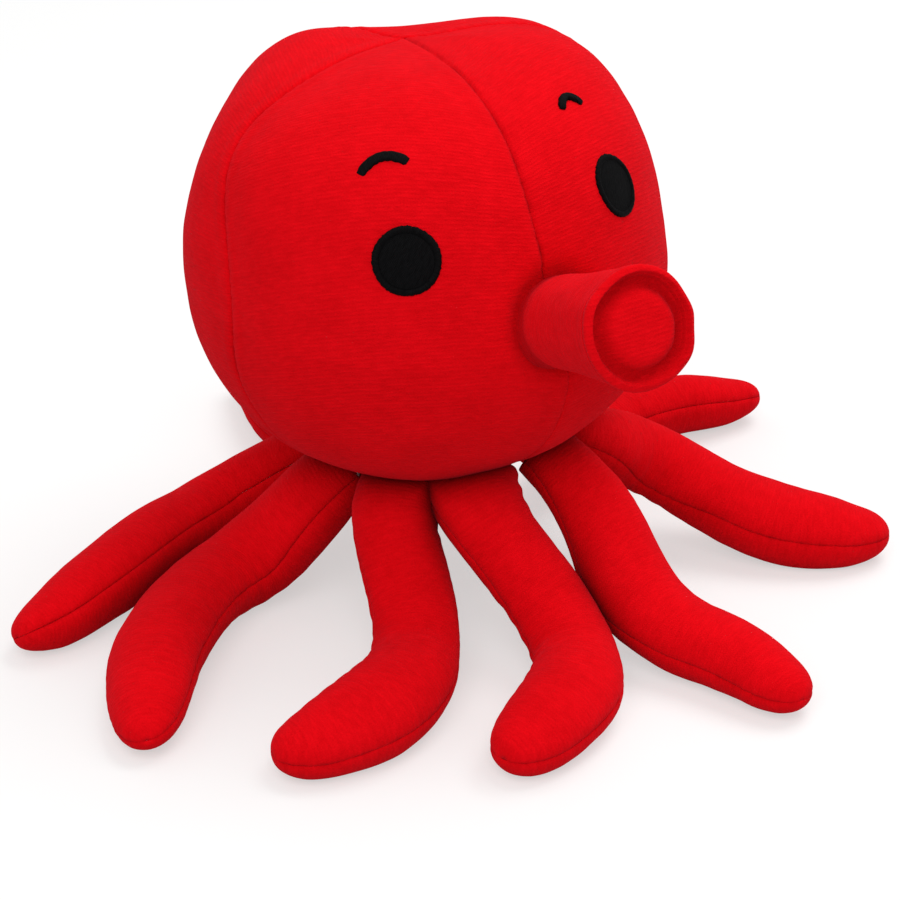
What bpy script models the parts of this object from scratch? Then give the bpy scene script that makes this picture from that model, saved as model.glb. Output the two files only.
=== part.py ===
"""Plush octopus: a stuffed head of four gores with a stitched mouth, and eight curled legs.

Metres, +Z up. The face looks along -Y and +X is the octopus's left. The legs lie on Z = 0
and the origin is under the middle of the whole toy.
"""
import math

import bmesh
import bpy
from mathutils import Matrix, Vector

# Head: a four-gore ball, fuller at the crown than at the base
HEAD_WIDTH = 0.138
CROWN_HEIGHT = 0.0675
BASE_DEPTH = 0.058
HEAD_LEVEL = 0.100
CROWN_FULLNESS = 3.0
BASE_FULLNESS = 2.2
SEAM_DRAW = 0.0012
CROWN_DIMPLE = 0.0015
DIMPLE_SHARPNESS = 40
CROWN_TO_LEFT = 0.005
CROWN_TO_BACK = 0.002
# Where the stuffing presses the head's cloth out or leaves it slack: azimuth and polar angle, and
# the height as a share of the head's width
HEAD_SWELLS = (
    (math.radians(-117), math.radians(90), 0.023),
    (math.radians(-129), math.radians(62), -0.035),
    (math.radians(-145), math.radians(41), 0.028),
    (math.radians(153), math.radians(23), -0.014),
    (math.radians(92), math.radians(41), 0.010),
)
SWELL_SPREAD = math.radians(22)
BASE_RING_DIAMETER = 0.061
LEAN_BACK = math.radians(6.3)
LEAN_SIDE = math.radians(4.4)

# Cloth and sewing
FABRIC = 0.0015
SEAM_GAP = 0.0003

# Face: satin-stitched eyes and brows
EYE_DIAMETER = 0.0195
EYE_HEIGHT = 0.0285
EYE_AZIMUTH = math.radians(29.5)
EYE_TURN = math.radians(-2)
FACE_TILT = math.radians(2.5)
BROW_SPAN = 0.013
BROW_RISE = 0.0024
BROW_WIDTH = 0.003
BROW_HEIGHT = 0.0530
BROW_AZIMUTH = math.radians(32)
BROW_TURN = math.radians(-4)
STITCH_HEIGHT = 0.0012

# Mouth: a stuffed tube that widens to a rim, closed by a stitched round end
MOUTH_LENGTH = 0.043
MOUTH_ROOT_DIAMETER = 0.0255
MOUTH_RIM_DIAMETER = 0.0330
MOUTH_STITCH_DIAMETER = 0.0232
MOUTH_PUFF = 0.0015
MOUTH_GROOVE = 0.002
MOUTH_LEVEL = 0.001
MOUTH_PITCH = math.radians(12.5)
MOUTH_YAW = math.radians(0.5)
MOUTH_AZIMUTH = math.radians(3.5)
MOUTH_FLARE = 1.5
# Radii within the end's stitched ring, and how far the cloth is puffed out there
MOUTH_PUFF_SHARES = ((0.0, 1.0), (0.6, 0.8), (0.9, 0.0))

# Legs: two panels each, pinched flat where they are caught in the base seam
LEG_LENGTH = 0.132
LEG_WIDTH = 0.026
LEG_THICKNESS = 0.0215
ROOT_WIDTH = 0.020
ROOT_THICKNESS = 0.004
ROOT_SWELL = 0.030
FOOT_FLAT = 0.0005
TAPER_SHARPNESS = 7
TIP_BLUNTNESS = 2.5

# How each leg lies. Its headings are taken at HEADING_SHARES of its length, in degrees from the
# face towards the left, and its roll lifts one edge, in degrees. Its length is a share of
# LEG_LENGTH, and it comes down to the table over its droop share of that.
HEADING_SHARES = (0.0, 0.2, 0.45, 0.72, 1.0)
LEG_LAY = {
    "leg_left_front": {
        "headings": (27, 19, 13, 20, 4), "roll": 0, "length_share": 0.87, "droop_share": 0.69},
    "leg_left_second": {
        "headings": (70, 100, 41, 44, 75), "roll": -9, "length_share": 0.91, "droop_share": 0.80},
    "leg_left_third": {
        "headings": (113, 124, 118, 90, 78), "roll": -23, "length_share": 1.03, "droop_share": 0.50},
    "leg_left_rear": {
        "headings": (157, 195, 200, 170, 180), "roll": 0, "length_share": 1.00, "droop_share": 0.50},
    "leg_right_rear": {
        "headings": (-155, -127, -74, -61, -72), "roll": 33, "length_share": 1.14, "droop_share": 0.48},
    "leg_right_third": {
        "headings": (-111, -105, -55, -36, -25), "roll": 14, "length_share": 1.10, "droop_share": 0.39},
    "leg_right_second": {
        "headings": (-60, -9, -34, -67, -100), "roll": 0, "length_share": 0.91, "droop_share": 0.53},
    "leg_right_front": {
        "headings": (-20, 29, -5, -52, -70), "roll": 0, "length_share": 0.89, "droop_share": 0.60},
}
ROLL_IN_SHARE = 0.35
SOLE_SHARE = 0.90

# Fineness of the solids
GORE_COLUMNS = 6
GORE_RING_SHARES = (0.0, 0.08, 0.18, 0.27, 0.36, 0.48, 0.61, 0.75, 0.88, 1.0)
BASE_RING_SHARES = (0.0, 0.5, 1.0)
ARC_COLUMNS = 6
LEG_RING_SHARES = (0.0, 0.06, 0.15, 0.29, 0.43, 0.58, 0.73, 0.86, 0.955)
MOUTH_COLUMNS = 16
MOUTH_RING_SHARES = (0.0, 0.3, 0.6, 0.85, 1.0)
EYE_COLUMNS = 24
BROW_COLUMNS = 6
PATH_STEPS = 100

# Seams between the gores, as azimuths from the face towards the octopus's left
SIDE_SEAM = math.radians(85)
GORE_SEAMS = {
    "gore_front_left": (0.0, SIDE_SEAM),
    "gore_back_left": (SIDE_SEAM, math.pi),
    "gore_back_right": (math.pi, 2 * math.pi - SIDE_SEAM),
    "gore_front_right": (2 * math.pi - SIDE_SEAM, 2 * math.pi),
}


def make_material(name, color, roughness):
    material = bpy.data.materials.new(name)
    material.use_nodes = True
    shader = material.node_tree.nodes["Principled BSDF"]
    shader.inputs["Base Color"].default_value = (*color, 1.0)
    shader.inputs["Roughness"].default_value = roughness
    shader.inputs["Metallic"].default_value = 0.0
    return material


def face_outwards(bm):
    """Turn a closed body's faces to point out of it."""
    bmesh.ops.recalc_face_normals(bm, faces=bm.faces)
    if bm.calc_volume(signed=True) < 0:
        bmesh.ops.reverse_faces(bm, faces=bm.faces)


def make_object(name, bm, parent, material):
    """Turn a closed bmesh into a named object under its parent empty."""
    face_outwards(bm)
    mesh = bpy.data.meshes.new(name)
    bm.to_mesh(mesh)
    bm.free()
    mesh.materials.append(material)
    mesh.shade_smooth()
    mesh.set_sharp_from_angle(angle=math.radians(50))
    part = bpy.data.objects.new(name, mesh)
    part.parent = parent
    bpy.context.scene.collection.objects.link(part)
    return part


def make_empty(name, parent, location):
    empty = bpy.data.objects.new(name, None)
    empty.parent = parent
    empty.location = location
    bpy.context.scene.collection.objects.link(empty)
    return empty


def cut_by(part, cutter):
    """Take the cutter's shape out of a part."""
    cut = part.modifiers.new("Cut", "BOOLEAN")
    cut.operation = "DIFFERENCE"
    cut.solver = "EXACT"
    cut.object = cutter


def add_strip(bm, first, second):
    """Join two open rows of corners; a row of one corner gives a fan.

    Every strip is split along the same diagonal, so that nested surfaces stay parallel.
    """
    for index in range(len(second) - 1):
        if len(first) == 1:
            bm.faces.new((first[0], second[index], second[index + 1]))
        else:
            bm.faces.new((first[index], second[index], second[index + 1]))
            bm.faces.new((first[index], second[index + 1], first[index + 1]))


def sewn_panel(outer_rows, inner_rows):
    """Closed sheet of cloth from its two surfaces, whose first row is one point."""
    bm = bmesh.new()
    outer = [[bm.verts.new(point) for point in row] for row in outer_rows]
    inner = [[bm.verts.new(point) for point in row] for row in inner_rows]
    for rows in (outer, inner):
        for first, second in zip(rows, rows[1:]):
            add_strip(bm, first, second)
    for edge in (0, -1):
        add_strip(bm, [row[edge] for row in outer], [row[edge] for row in inner])
    add_strip(bm, outer[-1], inner[-1])
    return bm


def stuffed_body(rings, first_point, last_point=None):
    """Closed body through whole rings, with a point or a flat face at each end."""
    bm = bmesh.new()
    loops = [[bm.verts.new(point) for point in ring] for ring in rings]
    closed = [loop + loop[:1] for loop in loops]
    for first, second in zip(closed, closed[1:]):
        add_strip(bm, first, second)
    add_strip(bm, [bm.verts.new(first_point)], closed[0])
    if last_point is None:
        bm.faces.new(loops[-1])
    else:
        add_strip(bm, [bm.verts.new(last_point)], closed[-1])
    return bm


# Head

def gore_position(azimuth):
    """How far across its gore an azimuth lies, from 0 to 1."""
    turned = azimuth % (2 * math.pi)
    for start, end in GORE_SEAMS.values():
        if turned <= end:
            return (turned - start) / (end - start)
    return 0.0


def head_direction(azimuth, polar):
    return Vector((math.sin(azimuth) * math.sin(polar), -math.cos(azimuth) * math.sin(polar), math.cos(polar)))


def head_point(azimuth, polar, inset=0.0):
    """Point of the head's surface in the head's own frame; polar turns from crown to base."""
    upper = polar < math.pi / 2
    depth = (CROWN_HEIGHT if upper else BASE_DEPTH) - inset
    fullness = CROWN_FULLNESS if upper else BASE_FULLNESS
    across = abs(math.sin(polar))
    along = math.cos(polar)
    reach = (across ** fullness + abs(along) ** fullness) ** (-1 / fullness)
    draw = SEAM_DRAW * (1 - math.sin(math.pi * gore_position(azimuth)))
    radius = ((HEAD_WIDTH / 2 - inset) * reach - draw) * across
    height = depth * reach * along - CROWN_DIMPLE * max(0.0, along) ** DIMPLE_SHARPNESS
    # The gores meet a little beside the middle of the crown
    shift = max(0.0, 1 - 2 * polar / math.pi) ** 2
    point = Vector((radius * math.sin(azimuth) + CROWN_TO_LEFT * shift,
                    -radius * math.cos(azimuth) + CROWN_TO_BACK * shift, height))
    outwards = head_direction(azimuth, polar)
    for swell_azimuth, swell_polar, share in HEAD_SWELLS:
        apart = outwards.angle(head_direction(swell_azimuth, swell_polar))
        point += HEAD_WIDTH * share * math.exp(-(apart / SWELL_SPREAD) ** 2) * outwards
    return point


def head_normal(azimuth, polar):
    step = math.radians(1)
    east = head_point(azimuth + step, polar) - head_point(azimuth - step, polar)
    south = head_point(azimuth, polar + step) - head_point(azimuth, polar - step)
    return south.cross(east).normalized()


def polar_at_height(height):
    """Polar angle of the level that lies this high above the widest one."""
    share = height / (CROWN_HEIGHT if height > 0 else BASE_DEPTH)
    fullness = CROWN_FULLNESS if height > 0 else BASE_FULLNESS
    return math.atan2((1 - abs(share) ** fullness) ** (1 / fullness), share)


def polar_at_base_radius(radius):
    """Polar angle of the base's level that has this radius."""
    share = radius / (HEAD_WIDTH / 2)
    return math.atan2(share, -(1 - share ** BASE_FULLNESS) ** (1 / BASE_FULLNESS))


RING_POLAR = polar_at_base_radius(BASE_RING_DIAMETER / 2)
BASE_POLAR = polar_at_base_radius(BASE_RING_DIAMETER / 2 - SEAM_GAP)


def gore_azimuths():
    """All the columns' azimuths, from the face seam round to the face seam."""
    for start, end in GORE_SEAMS.values():
        for column in range(GORE_COLUMNS):
            yield start + (end - start) * column / GORE_COLUMNS


def make_gore(name, seams, parent, material):
    start, end = seams
    columns = [start + (end - start) * column / GORE_COLUMNS for column in range(GORE_COLUMNS + 1)]

    def surface(inset):
        rows = [[head_point(columns[0], 0.0, inset)]]
        for share in GORE_RING_SHARES[1:]:
            rows.append([head_point(azimuth, share * RING_POLAR, inset) for azimuth in columns])
        return rows

    gore = make_object(name, sewn_panel(surface(0.0), surface(FABRIC)), parent, material)
    middle = (start + end) / 2
    set_off = SEAM_GAP / 2 / math.sin((end - start) / 2)
    gore.location = (set_off * math.sin(middle), -set_off * math.cos(middle), 0.0)


def make_base_panel(parent, material):
    polars = [BASE_POLAR + share * (math.pi - BASE_POLAR) for share in BASE_RING_SHARES[:-1]]
    bm = bmesh.new()
    rims = []
    for inset in (0.0, FABRIC):
        loops = []
        for polar in polars:
            loop = [bm.verts.new(head_point(azimuth, polar, inset)) for azimuth in gore_azimuths()]
            loops.append(loop + loop[:1])
        add_strip(bm, loops[0], loops[1])
        add_strip(bm, [bm.verts.new(head_point(0.0, math.pi, inset))], loops[1])
        rims.append(loops[0])
    add_strip(bm, rims[0], rims[1])
    make_object("base_panel", bm, parent, material)


def head_body(inset):
    """The whole head's shape, on the same grid as its gores and base panel."""
    polars = [share * RING_POLAR for share in GORE_RING_SHARES[1:]]
    polars += [RING_POLAR + share * (math.pi - RING_POLAR) for share in BASE_RING_SHARES[1:-1]]
    rings = [[head_point(azimuth, polar, inset) for azimuth in gore_azimuths()] for polar in polars]
    return stuffed_body(rings, head_point(0.0, 0.0, inset), head_point(0.0, math.pi, inset))


def make_cutter(parent):
    """The head's outside with room for a sewn-on piece, to shape what is set on it."""
    cutter = bpy.data.objects.new("head_cutter", bpy.data.meshes.new("head_cutter"))
    bm = head_body(-2 * SEAM_GAP)
    face_outwards(bm)
    bm.to_mesh(cutter.data)
    bm.free()
    cutter.parent = parent
    cutter.hide_render = True
    cutter.display_type = "WIRE"
    bpy.context.scene.collection.objects.link(cutter)
    return cutter


# Face

def make_patch(name, azimuth, height, outline, parent, material, cutter):
    """Raised satin stitching with this outline, shaped to the head under it."""
    polar = polar_at_height(height)
    normal = head_normal(azimuth, polar)
    east = Vector((math.cos(azimuth), math.sin(azimuth), 0.0))
    north = normal.cross(east)
    centre = head_point(azimuth, polar)
    # The outline's plane lies under the head's surface at the patch's edge
    sink = EYE_DIAMETER ** 2 / (2 * HEAD_WIDTH) + FABRIC
    bm = bmesh.new()
    floor = bm.faces.new([bm.verts.new(centre + x * east + y * north - sink * normal) for x, y in outline])
    walls = bmesh.ops.extrude_face_region(bm, geom=[floor], use_keep_orig=True)["geom"]
    lifted = [item for item in walls if isinstance(item, bmesh.types.BMVert)]
    top = [item for item in walls if isinstance(item, bmesh.types.BMFace)]
    bmesh.ops.translate(bm, verts=lifted, vec=sink * normal)
    bmesh.ops.recalc_face_normals(bm, faces=bm.faces)
    bmesh.ops.inset_region(bm, faces=top, thickness=STITCH_HEIGHT / 2, depth=STITCH_HEIGHT)
    patch = make_object(name, bm, parent, material)
    cut_by(patch, cutter)


def make_face(parent, material, cutter):
    turn = 2 * math.pi / EYE_COLUMNS
    eye = [(EYE_DIAMETER / 2 * math.cos(step * turn), EYE_DIAMETER / 2 * math.sin(step * turn))
           for step in range(EYE_COLUMNS)]
    places = [2 * step / BROW_COLUMNS - 1 for step in range(BROW_COLUMNS + 1)]
    brow = [(BROW_SPAN / 2 * x, BROW_WIDTH / 2 - BROW_RISE * x * x) for x in places]
    brow += [(BROW_SPAN / 2 * x, -BROW_WIDTH / 2 - BROW_RISE * x * x) for x in reversed(places)]
    for side, way in (("left", 1), ("right", -1)):
        rise = way * HEAD_WIDTH / 2 * math.sin(EYE_AZIMUTH) * math.sin(FACE_TILT)
        eye_azimuth = EYE_TURN + way * EYE_AZIMUTH
        brow_azimuth = BROW_TURN + way * BROW_AZIMUTH
        make_patch(f"eye_{side}", eye_azimuth, EYE_HEIGHT + rise, eye, parent, material, cutter)
        make_patch(f"brow_{side}", brow_azimuth, BROW_HEIGHT + rise, brow, parent, material, cutter)


# Mouth

def turned(profile, closed):
    """Body turned about Z from a profile of (radius, height) points."""
    bm = bmesh.new()
    corners = [bm.verts.new((radius, 0.0, height)) for radius, height in profile]
    pairs = list(zip(corners, corners[1:]))
    if closed:
        pairs.append((corners[-1], corners[0]))
    edges = [bm.edges.new(pair) for pair in pairs]
    bmesh.ops.spin(bm, geom=corners + edges, cent=(0, 0, 0), axis=(0, 0, 1), angle=2 * math.pi,
                   steps=MOUTH_COLUMNS, use_merge=True)
    bmesh.ops.remove_doubles(bm, verts=bm.verts, dist=SEAM_GAP / 100)
    return bm


def mouth_radius(share):
    root = MOUTH_ROOT_DIAMETER / 2
    return root + (MOUTH_RIM_DIAMETER / 2 - root) * max(0.0, share) ** MOUTH_FLARE


def make_mouth(parent, fabric, filling, cutter):
    frame = make_empty("mouth_frame", parent, head_point(MOUTH_AZIMUTH, polar_at_height(MOUTH_LEVEL)))
    level = math.cos(MOUTH_PITCH)
    axis = Vector((math.sin(MOUTH_YAW) * level, -math.cos(MOUTH_YAW) * level, math.sin(MOUTH_PITCH)))
    frame.rotation_mode = "QUATERNION"
    frame.rotation_quaternion = axis.to_track_quat("Z", "Y")
    # The turned bodies start inside the head, and the head's shape is then cut from them
    inside = MOUTH_ROOT_DIAMETER / 2
    sides = [(mouth_radius(share), share * MOUTH_LENGTH) for share in MOUTH_RING_SHARES]
    sides.insert(0, (mouth_radius(0.0), -inside))
    lining = [(radius - FABRIC, height) for radius, height in reversed(sides)]
    tube = make_object("mouth_tube", turned(sides + lining, True), frame, fabric)
    cut_by(tube, cutter)

    rim = MOUTH_RIM_DIAMETER / 2
    ring = MOUTH_STITCH_DIAMETER / 2
    front = MOUTH_LENGTH + SEAM_GAP + FABRIC
    end = [(ring * across, front + MOUTH_PUFF * puff) for across, puff in MOUTH_PUFF_SHARES]
    end += [(ring, front - MOUTH_GROOVE), ((ring * 2 + rim) / 3, front), ((ring + rim * 2) / 3, front)]
    back = [(radius, height - FABRIC) for radius, height in reversed(end)]
    edge = [(rim, front - FABRIC / 3), (rim, front - FABRIC)]
    make_object("mouth_end", turned(end + edge + back, False), frame, fabric)

    room = FABRIC + SEAM_GAP
    core = [(radius, height - SEAM_GAP) for radius, height in reversed(back)]
    core.append((mouth_radius(1.0) - room, MOUTH_LENGTH))
    for share in reversed(MOUTH_RING_SHARES[:-1]):
        core.append((mouth_radius(share) - room, share * MOUTH_LENGTH))
    core += [(mouth_radius(0.0) - room, -inside), (0.0, -inside)]
    stuffing = make_object("mouth_filling", turned(core, False), frame, filling)
    cut_by(stuffing, cutter)


# Legs

def smooth_value(shares, values, share):
    """Value of a smooth curve through the given ones, with its slope taken from the neighbours."""
    last = len(shares) - 1
    start = max(index for index in range(last) if shares[index] <= share or index == 0)

    def slope(index):
        before, after = max(0, index - 1), min(last, index + 1)
        return (values[after] - values[before]) / (shares[after] - shares[before])

    span = shares[start + 1] - shares[start]
    t = (share - shares[start]) / span
    rise = values[start + 1] - values[start]
    ease = t * t * (3 - 2 * t)
    return (values[start] + rise * ease + span * t * (1 - t) ** 2 * slope(start)
            - span * t * t * (1 - t) * slope(start + 1))


def leg_length(name):
    return LEG_LENGTH * LEG_LAY[name]["length_share"]


def leg_heading(name, share):
    return math.radians(smooth_value(HEADING_SHARES, LEG_LAY[name]["headings"], share))


def leg_taper(share):
    return (1 - share ** TAPER_SHARPNESS) ** (1 / TIP_BLUNTNESS)


def leg_section(name, share):
    """Half width and half thickness of a leg: wide soon after its root, and thick further on."""
    swell = math.sin(math.pi / 2 * min(1.0, share * leg_length(name) / ROOT_SWELL))
    width = ROOT_WIDTH + (LEG_WIDTH - ROOT_WIDTH) * swell
    thickness = ROOT_THICKNESS + (LEG_THICKNESS - ROOT_THICKNESS) * swell ** 2
    return width / 2 * leg_taper(share), thickness / 2 * leg_taper(share)


def seam_tangent(name, lean):
    """Direction of the base seam where a leg is caught in it: the line that the leg bends about."""
    azimuth = leg_heading(name, 0.0)
    return lean @ Vector((math.cos(azimuth), math.sin(azimuth), 0.0))


def leg_roll(name, share, lean):
    """Roll of the section: along the base seam at the root, as the leg lies further out."""
    ease = min(1.0, share / ROLL_IN_SHARE)
    at_root = math.asin(seam_tangent(name, lean).z)
    return at_root + (math.radians(LEG_LAY[name]["roll"]) - at_root) * ease


def seam_point(name, lean):
    """Where the middle of a leg is caught in the base seam, which is where the leg bends."""
    return Vector((0.0, 0.0, HEAD_LEVEL)) + lean @ head_point(leg_heading(name, 0.0), RING_POLAR)


def leg_root(name, lean):
    """Middle of the pinched root, which falls away from the head with its top edge at the seam."""
    seam = seam_point(name, lean)
    azimuth = leg_heading(name, 0.0)
    normal = lean @ head_normal(azimuth, RING_POLAR)
    fall = math.asin((seam.z - LEG_THICKNESS / 2) / (LEG_LAY[name]["droop_share"] * leg_length(name)))
    up = Vector((math.sin(fall) * math.sin(azimuth), -math.sin(fall) * math.cos(azimuth), math.cos(fall)))
    return seam + SEAM_GAP * normal - (ROOT_THICKNESS + SEAM_GAP) / 2 * up


def lying_height(name, share, lean):
    """Height of the middle of a leg that lies on the table, sunk by the flat under its sole."""
    roll = leg_roll(name, max(share, ROLL_IN_SHARE), lean)
    taper = leg_taper(min(share, SOLE_SHARE))
    width = LEG_WIDTH / 2 * taper
    thickness = LEG_THICKNESS / 2 * taper + SEAM_GAP / 2
    return math.hypot(width * math.sin(roll), thickness * math.cos(roll)) - FOOT_FLAT


def leg_path(name, lean):
    """Points of a leg's middle line, a step apart: out from the root and down to the table."""
    root = leg_root(name, lean)
    drop = root.z - lying_height(name, 0.0, lean)
    step = leg_length(name) / PATH_STEPS
    points = [root]
    for index in range(1, PATH_STEPS + 1):
        share = index / PATH_STEPS
        u = min(1.0, share / LEG_LAY[name]["droop_share"])
        height = lying_height(name, share, lean) + drop * (1 - u) ** 2 * (1 + u)
        fall = height - points[-1].z
        along = math.sqrt(max(0.0, step * step - fall * fall))
        heading = leg_heading(name, (index - 0.5) / PATH_STEPS)
        points.append(Vector((points[-1].x + along * math.sin(heading),
                              points[-1].y - along * math.cos(heading), height)))
    return points


def leg_frames(name, lean):
    """Place from the seam, side and up directions and half sizes at each ring, and the tip."""
    seam = seam_point(name, lean)
    points = [point - seam for point in leg_path(name, lean)]
    frames = []
    for share in LEG_RING_SHARES:
        index = round(share * PATH_STEPS)
        tangent = (points[index + 1] - points[max(0, index - 1)]).normalized()
        heading = leg_heading(name, share)
        level = Vector((math.cos(heading), math.sin(heading), 0.0))
        level = (level - level.dot(tangent) * tangent).normalized()
        up = tangent.cross(level)
        roll = leg_roll(name, share, lean)
        side = math.cos(roll) * level + math.sin(roll) * up
        width, thickness = leg_section(name, share)
        frames.append((points[index], side, tangent.cross(side), width, thickness))
    return frames, points[-1], (points[-1] - points[-2]).normalized()


def make_leg_panel(name, way, frames, tip, ahead, parent, material):
    """One of the two panels: way is 1 for the top one and -1 for the sole."""
    def surface(inset):
        last_up = frames[-1][2]
        rows = [[tip - inset * ahead + way * SEAM_GAP / 2 * last_up]]
        for place, side, up, width, thickness in reversed(frames):
            row = []
            for column in range(ARC_COLUMNS + 1):
                angle = math.pi * column / ARC_COLUMNS + (math.pi if way < 0 else 0.0)
                rise = way * SEAM_GAP / 2 + (thickness - inset) * math.sin(angle)
                row.append(place + (width - inset) * math.cos(angle) * side + rise * up)
            rows.append(row)
        return rows

    bm = sewn_panel(surface(0.0), surface(FABRIC))
    if way < 0:
        table = Vector((0.0, 0.0, -parent.location.z))
        bmesh.ops.bisect_plane(bm, geom=bm.verts[:] + bm.edges[:] + bm.faces[:], dist=SEAM_GAP / 100,
                               plane_co=table, plane_no=(0, 0, 1), clear_inner=True)
        bmesh.ops.holes_fill(bm, edges=[edge for edge in bm.edges if edge.is_boundary], sides=0)
    make_object(name, bm, parent, material)


def make_leg_filling(name, frames, tip, ahead, parent, material):
    room = FABRIC + SEAM_GAP
    rings = []
    for place, side, up, width, thickness in reversed(frames[1:]):
        ring = []
        for column in range(2 * ARC_COLUMNS):
            angle = math.pi * column / ARC_COLUMNS
            across, rise = (width - room) * math.cos(angle), (thickness - room) * math.sin(angle)
            ring.append(place + across * side + rise * up)
        rings.append(ring)
    make_object(name, stuffed_body(rings, tip - room * ahead), parent, material)


def make_leg(name, toy, lean, fabric, filling):
    hinge = make_empty(f"{name}_seam", toy, seam_point(name, lean))
    frames, tip, ahead = leg_frames(name, lean)
    make_leg_panel(f"{name}_top", 1, frames, tip, ahead, hinge, fabric)
    make_leg_panel(f"{name}_sole", -1, frames, tip, ahead, hinge, fabric)
    make_leg_filling(f"{name}_filling", frames, tip, ahead, hinge, filling)


def set_over_origin(toy):
    """Move the toy so that the middle of its footprint is the origin."""
    bpy.context.view_layer.update()
    corners = [part.matrix_world @ Vector(corner) for part in bpy.data.objects
               if part.type == "MESH" and not part.hide_render for corner in part.bound_box]
    for axis in (0, 1):
        places = [corner[axis] for corner in corners]
        toy.location[axis] = -(min(places) + max(places)) / 2


def build():
    for old in list(bpy.data.objects):
        bpy.data.objects.remove(old)
    fabric = make_material("red_plush", (0.60, 0.010, 0.020), 0.95)
    stitching = make_material("black_thread", (0.012, 0.012, 0.012), 0.6)
    filling = make_material("white_filling", (0.85, 0.85, 0.83), 1.0)

    lean = Matrix.Rotation(-LEAN_SIDE, 3, "Y") @ Matrix.Rotation(-LEAN_BACK, 3, "X")
    toy = make_empty("toy", None, (0.0, 0.0, 0.0))
    head = make_empty("head_frame", toy, (0.0, 0.0, HEAD_LEVEL))
    head.rotation_euler = lean.to_euler()

    for name, seams in GORE_SEAMS.items():
        make_gore(name, seams, head, fabric)
    make_base_panel(head, fabric)
    make_object("head_filling", head_body(FABRIC + SEAM_GAP), head, filling)
    cutter = make_cutter(head)
    make_face(head, stitching, cutter)
    make_mouth(head, fabric, filling, cutter)
    for name in LEG_LAY:
        make_leg(name, toy, lean, fabric, filling)
    set_over_origin(toy)


build()
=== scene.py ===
"""Plush octopus as photographed: every panel, stitched patch and filling with its looks.

Metres, +Z up. The face looks along -Y and +X is the octopus's left, as in the CAD part. Each
section makes one piece or one group of like pieces, with its sizes, colours, mesh and material.
"""

import math

import bmesh
import bpy
import numpy as np
from mathutils import Matrix, Vector, noise
from mathutils.bvhtree import BVHTree


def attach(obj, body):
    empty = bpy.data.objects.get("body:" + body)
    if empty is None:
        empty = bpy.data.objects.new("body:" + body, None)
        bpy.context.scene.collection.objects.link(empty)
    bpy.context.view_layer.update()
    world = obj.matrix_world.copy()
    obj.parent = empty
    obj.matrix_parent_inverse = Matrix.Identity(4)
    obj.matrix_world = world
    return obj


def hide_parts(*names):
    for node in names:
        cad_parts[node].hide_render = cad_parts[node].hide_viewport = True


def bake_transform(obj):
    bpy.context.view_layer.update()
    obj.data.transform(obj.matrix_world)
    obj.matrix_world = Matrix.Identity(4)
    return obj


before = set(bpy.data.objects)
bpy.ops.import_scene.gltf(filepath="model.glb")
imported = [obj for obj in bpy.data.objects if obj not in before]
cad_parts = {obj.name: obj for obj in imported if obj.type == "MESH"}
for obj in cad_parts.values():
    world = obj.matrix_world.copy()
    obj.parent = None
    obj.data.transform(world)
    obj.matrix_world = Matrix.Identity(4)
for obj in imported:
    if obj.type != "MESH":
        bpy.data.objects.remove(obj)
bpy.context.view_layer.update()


# Gores of the head
#
# Four panels of red knitted plush, brushed to a short pile over fine ribs. They are sewn edge to
# edge from the crown to the base seam. The seams draw the cloth in to a narrow groove with small
# puckers, and the stuffing behind swells the rest.

TOY_PLACE = np.array((-0.00747, -0.00466, 0.0))
HEAD_WIDTH = 0.138
CROWN_HEIGHT = 0.0675
BASE_DEPTH = 0.058
HEAD_LEVEL = 0.100
CROWN_FULLNESS = 3.0
BASE_FULLNESS = 2.2
SEAM_DRAW = 0.0012
CROWN_DIMPLE = 0.0015
DIMPLE_SHARPNESS = 40
CROWN_TO_LEFT = 0.005
CROWN_TO_BACK = 0.002
CROWN_DRIFT = np.array((0.0060, 0.0157))
DRIFT_SHARPNESS = 4
# Where the stuffing presses the cloth out or leaves it slack: azimuth and polar angle in degrees,
# and height
HEAD_SWELLS = ((-117, 80, 0.0021), (-135, 58, -0.0049), (-148, 39, 0.0033), (-172, 29, 0.0036),
               (153, 23, -0.0055), (92, 38, 0.0029), (78, 64, -0.0014), (60, 84, 0.0007))
SWELL_SPREAD = math.radians(22)
BASE_RING_DIAMETER = 0.061
LEAN_BACK = math.radians(6.3)
LEAN_SIDE = math.radians(4.4)
LEAN = np.array(Matrix.Rotation(-LEAN_SIDE, 3, "Y") @ Matrix.Rotation(-LEAN_BACK, 3, "X"))

FABRIC = 0.0015
SEAM_GAP = 0.0003
SEAM_STAND_OFF = SEAM_GAP / 6
# Turns at which the gores meet, from the face to the left and on round the head
SIDE_SEAM = math.radians(85)
GORE_SEAMS = np.array((0.0, SIDE_SEAM, math.pi, 2 * math.pi - SIDE_SEAM, 2 * math.pi))


def bell(distance, reach):
    """1 at no distance, and falling smoothly to nearly nothing at twice the reach."""
    return np.exp(-(distance / reach) ** 2)


def gore_place(azimuth):
    """How far across its gore an azimuth lies, from 0 to 1, and its angle from the nearest seam."""
    turned = azimuth % (2 * math.pi)
    index = np.clip(np.searchsorted(GORE_SEAMS, turned, side="right") - 1, 0, 3)
    start, end = GORE_SEAMS[index], GORE_SEAMS[index + 1]
    return (turned - start) / (end - start), np.minimum(turned - start, end - turned)


def crown_shift(polar):
    """How far the gores' meeting point draws each level to the left and to the back."""
    rise = np.maximum(0.0, 1 - 2 * polar / math.pi)
    return (CROWN_TO_LEFT * rise ** 2 + CROWN_DRIFT[0] * rise ** DRIFT_SHARPNESS,
            CROWN_TO_BACK * rise ** 2 + CROWN_DRIFT[1] * rise ** DRIFT_SHARPNESS)


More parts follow.
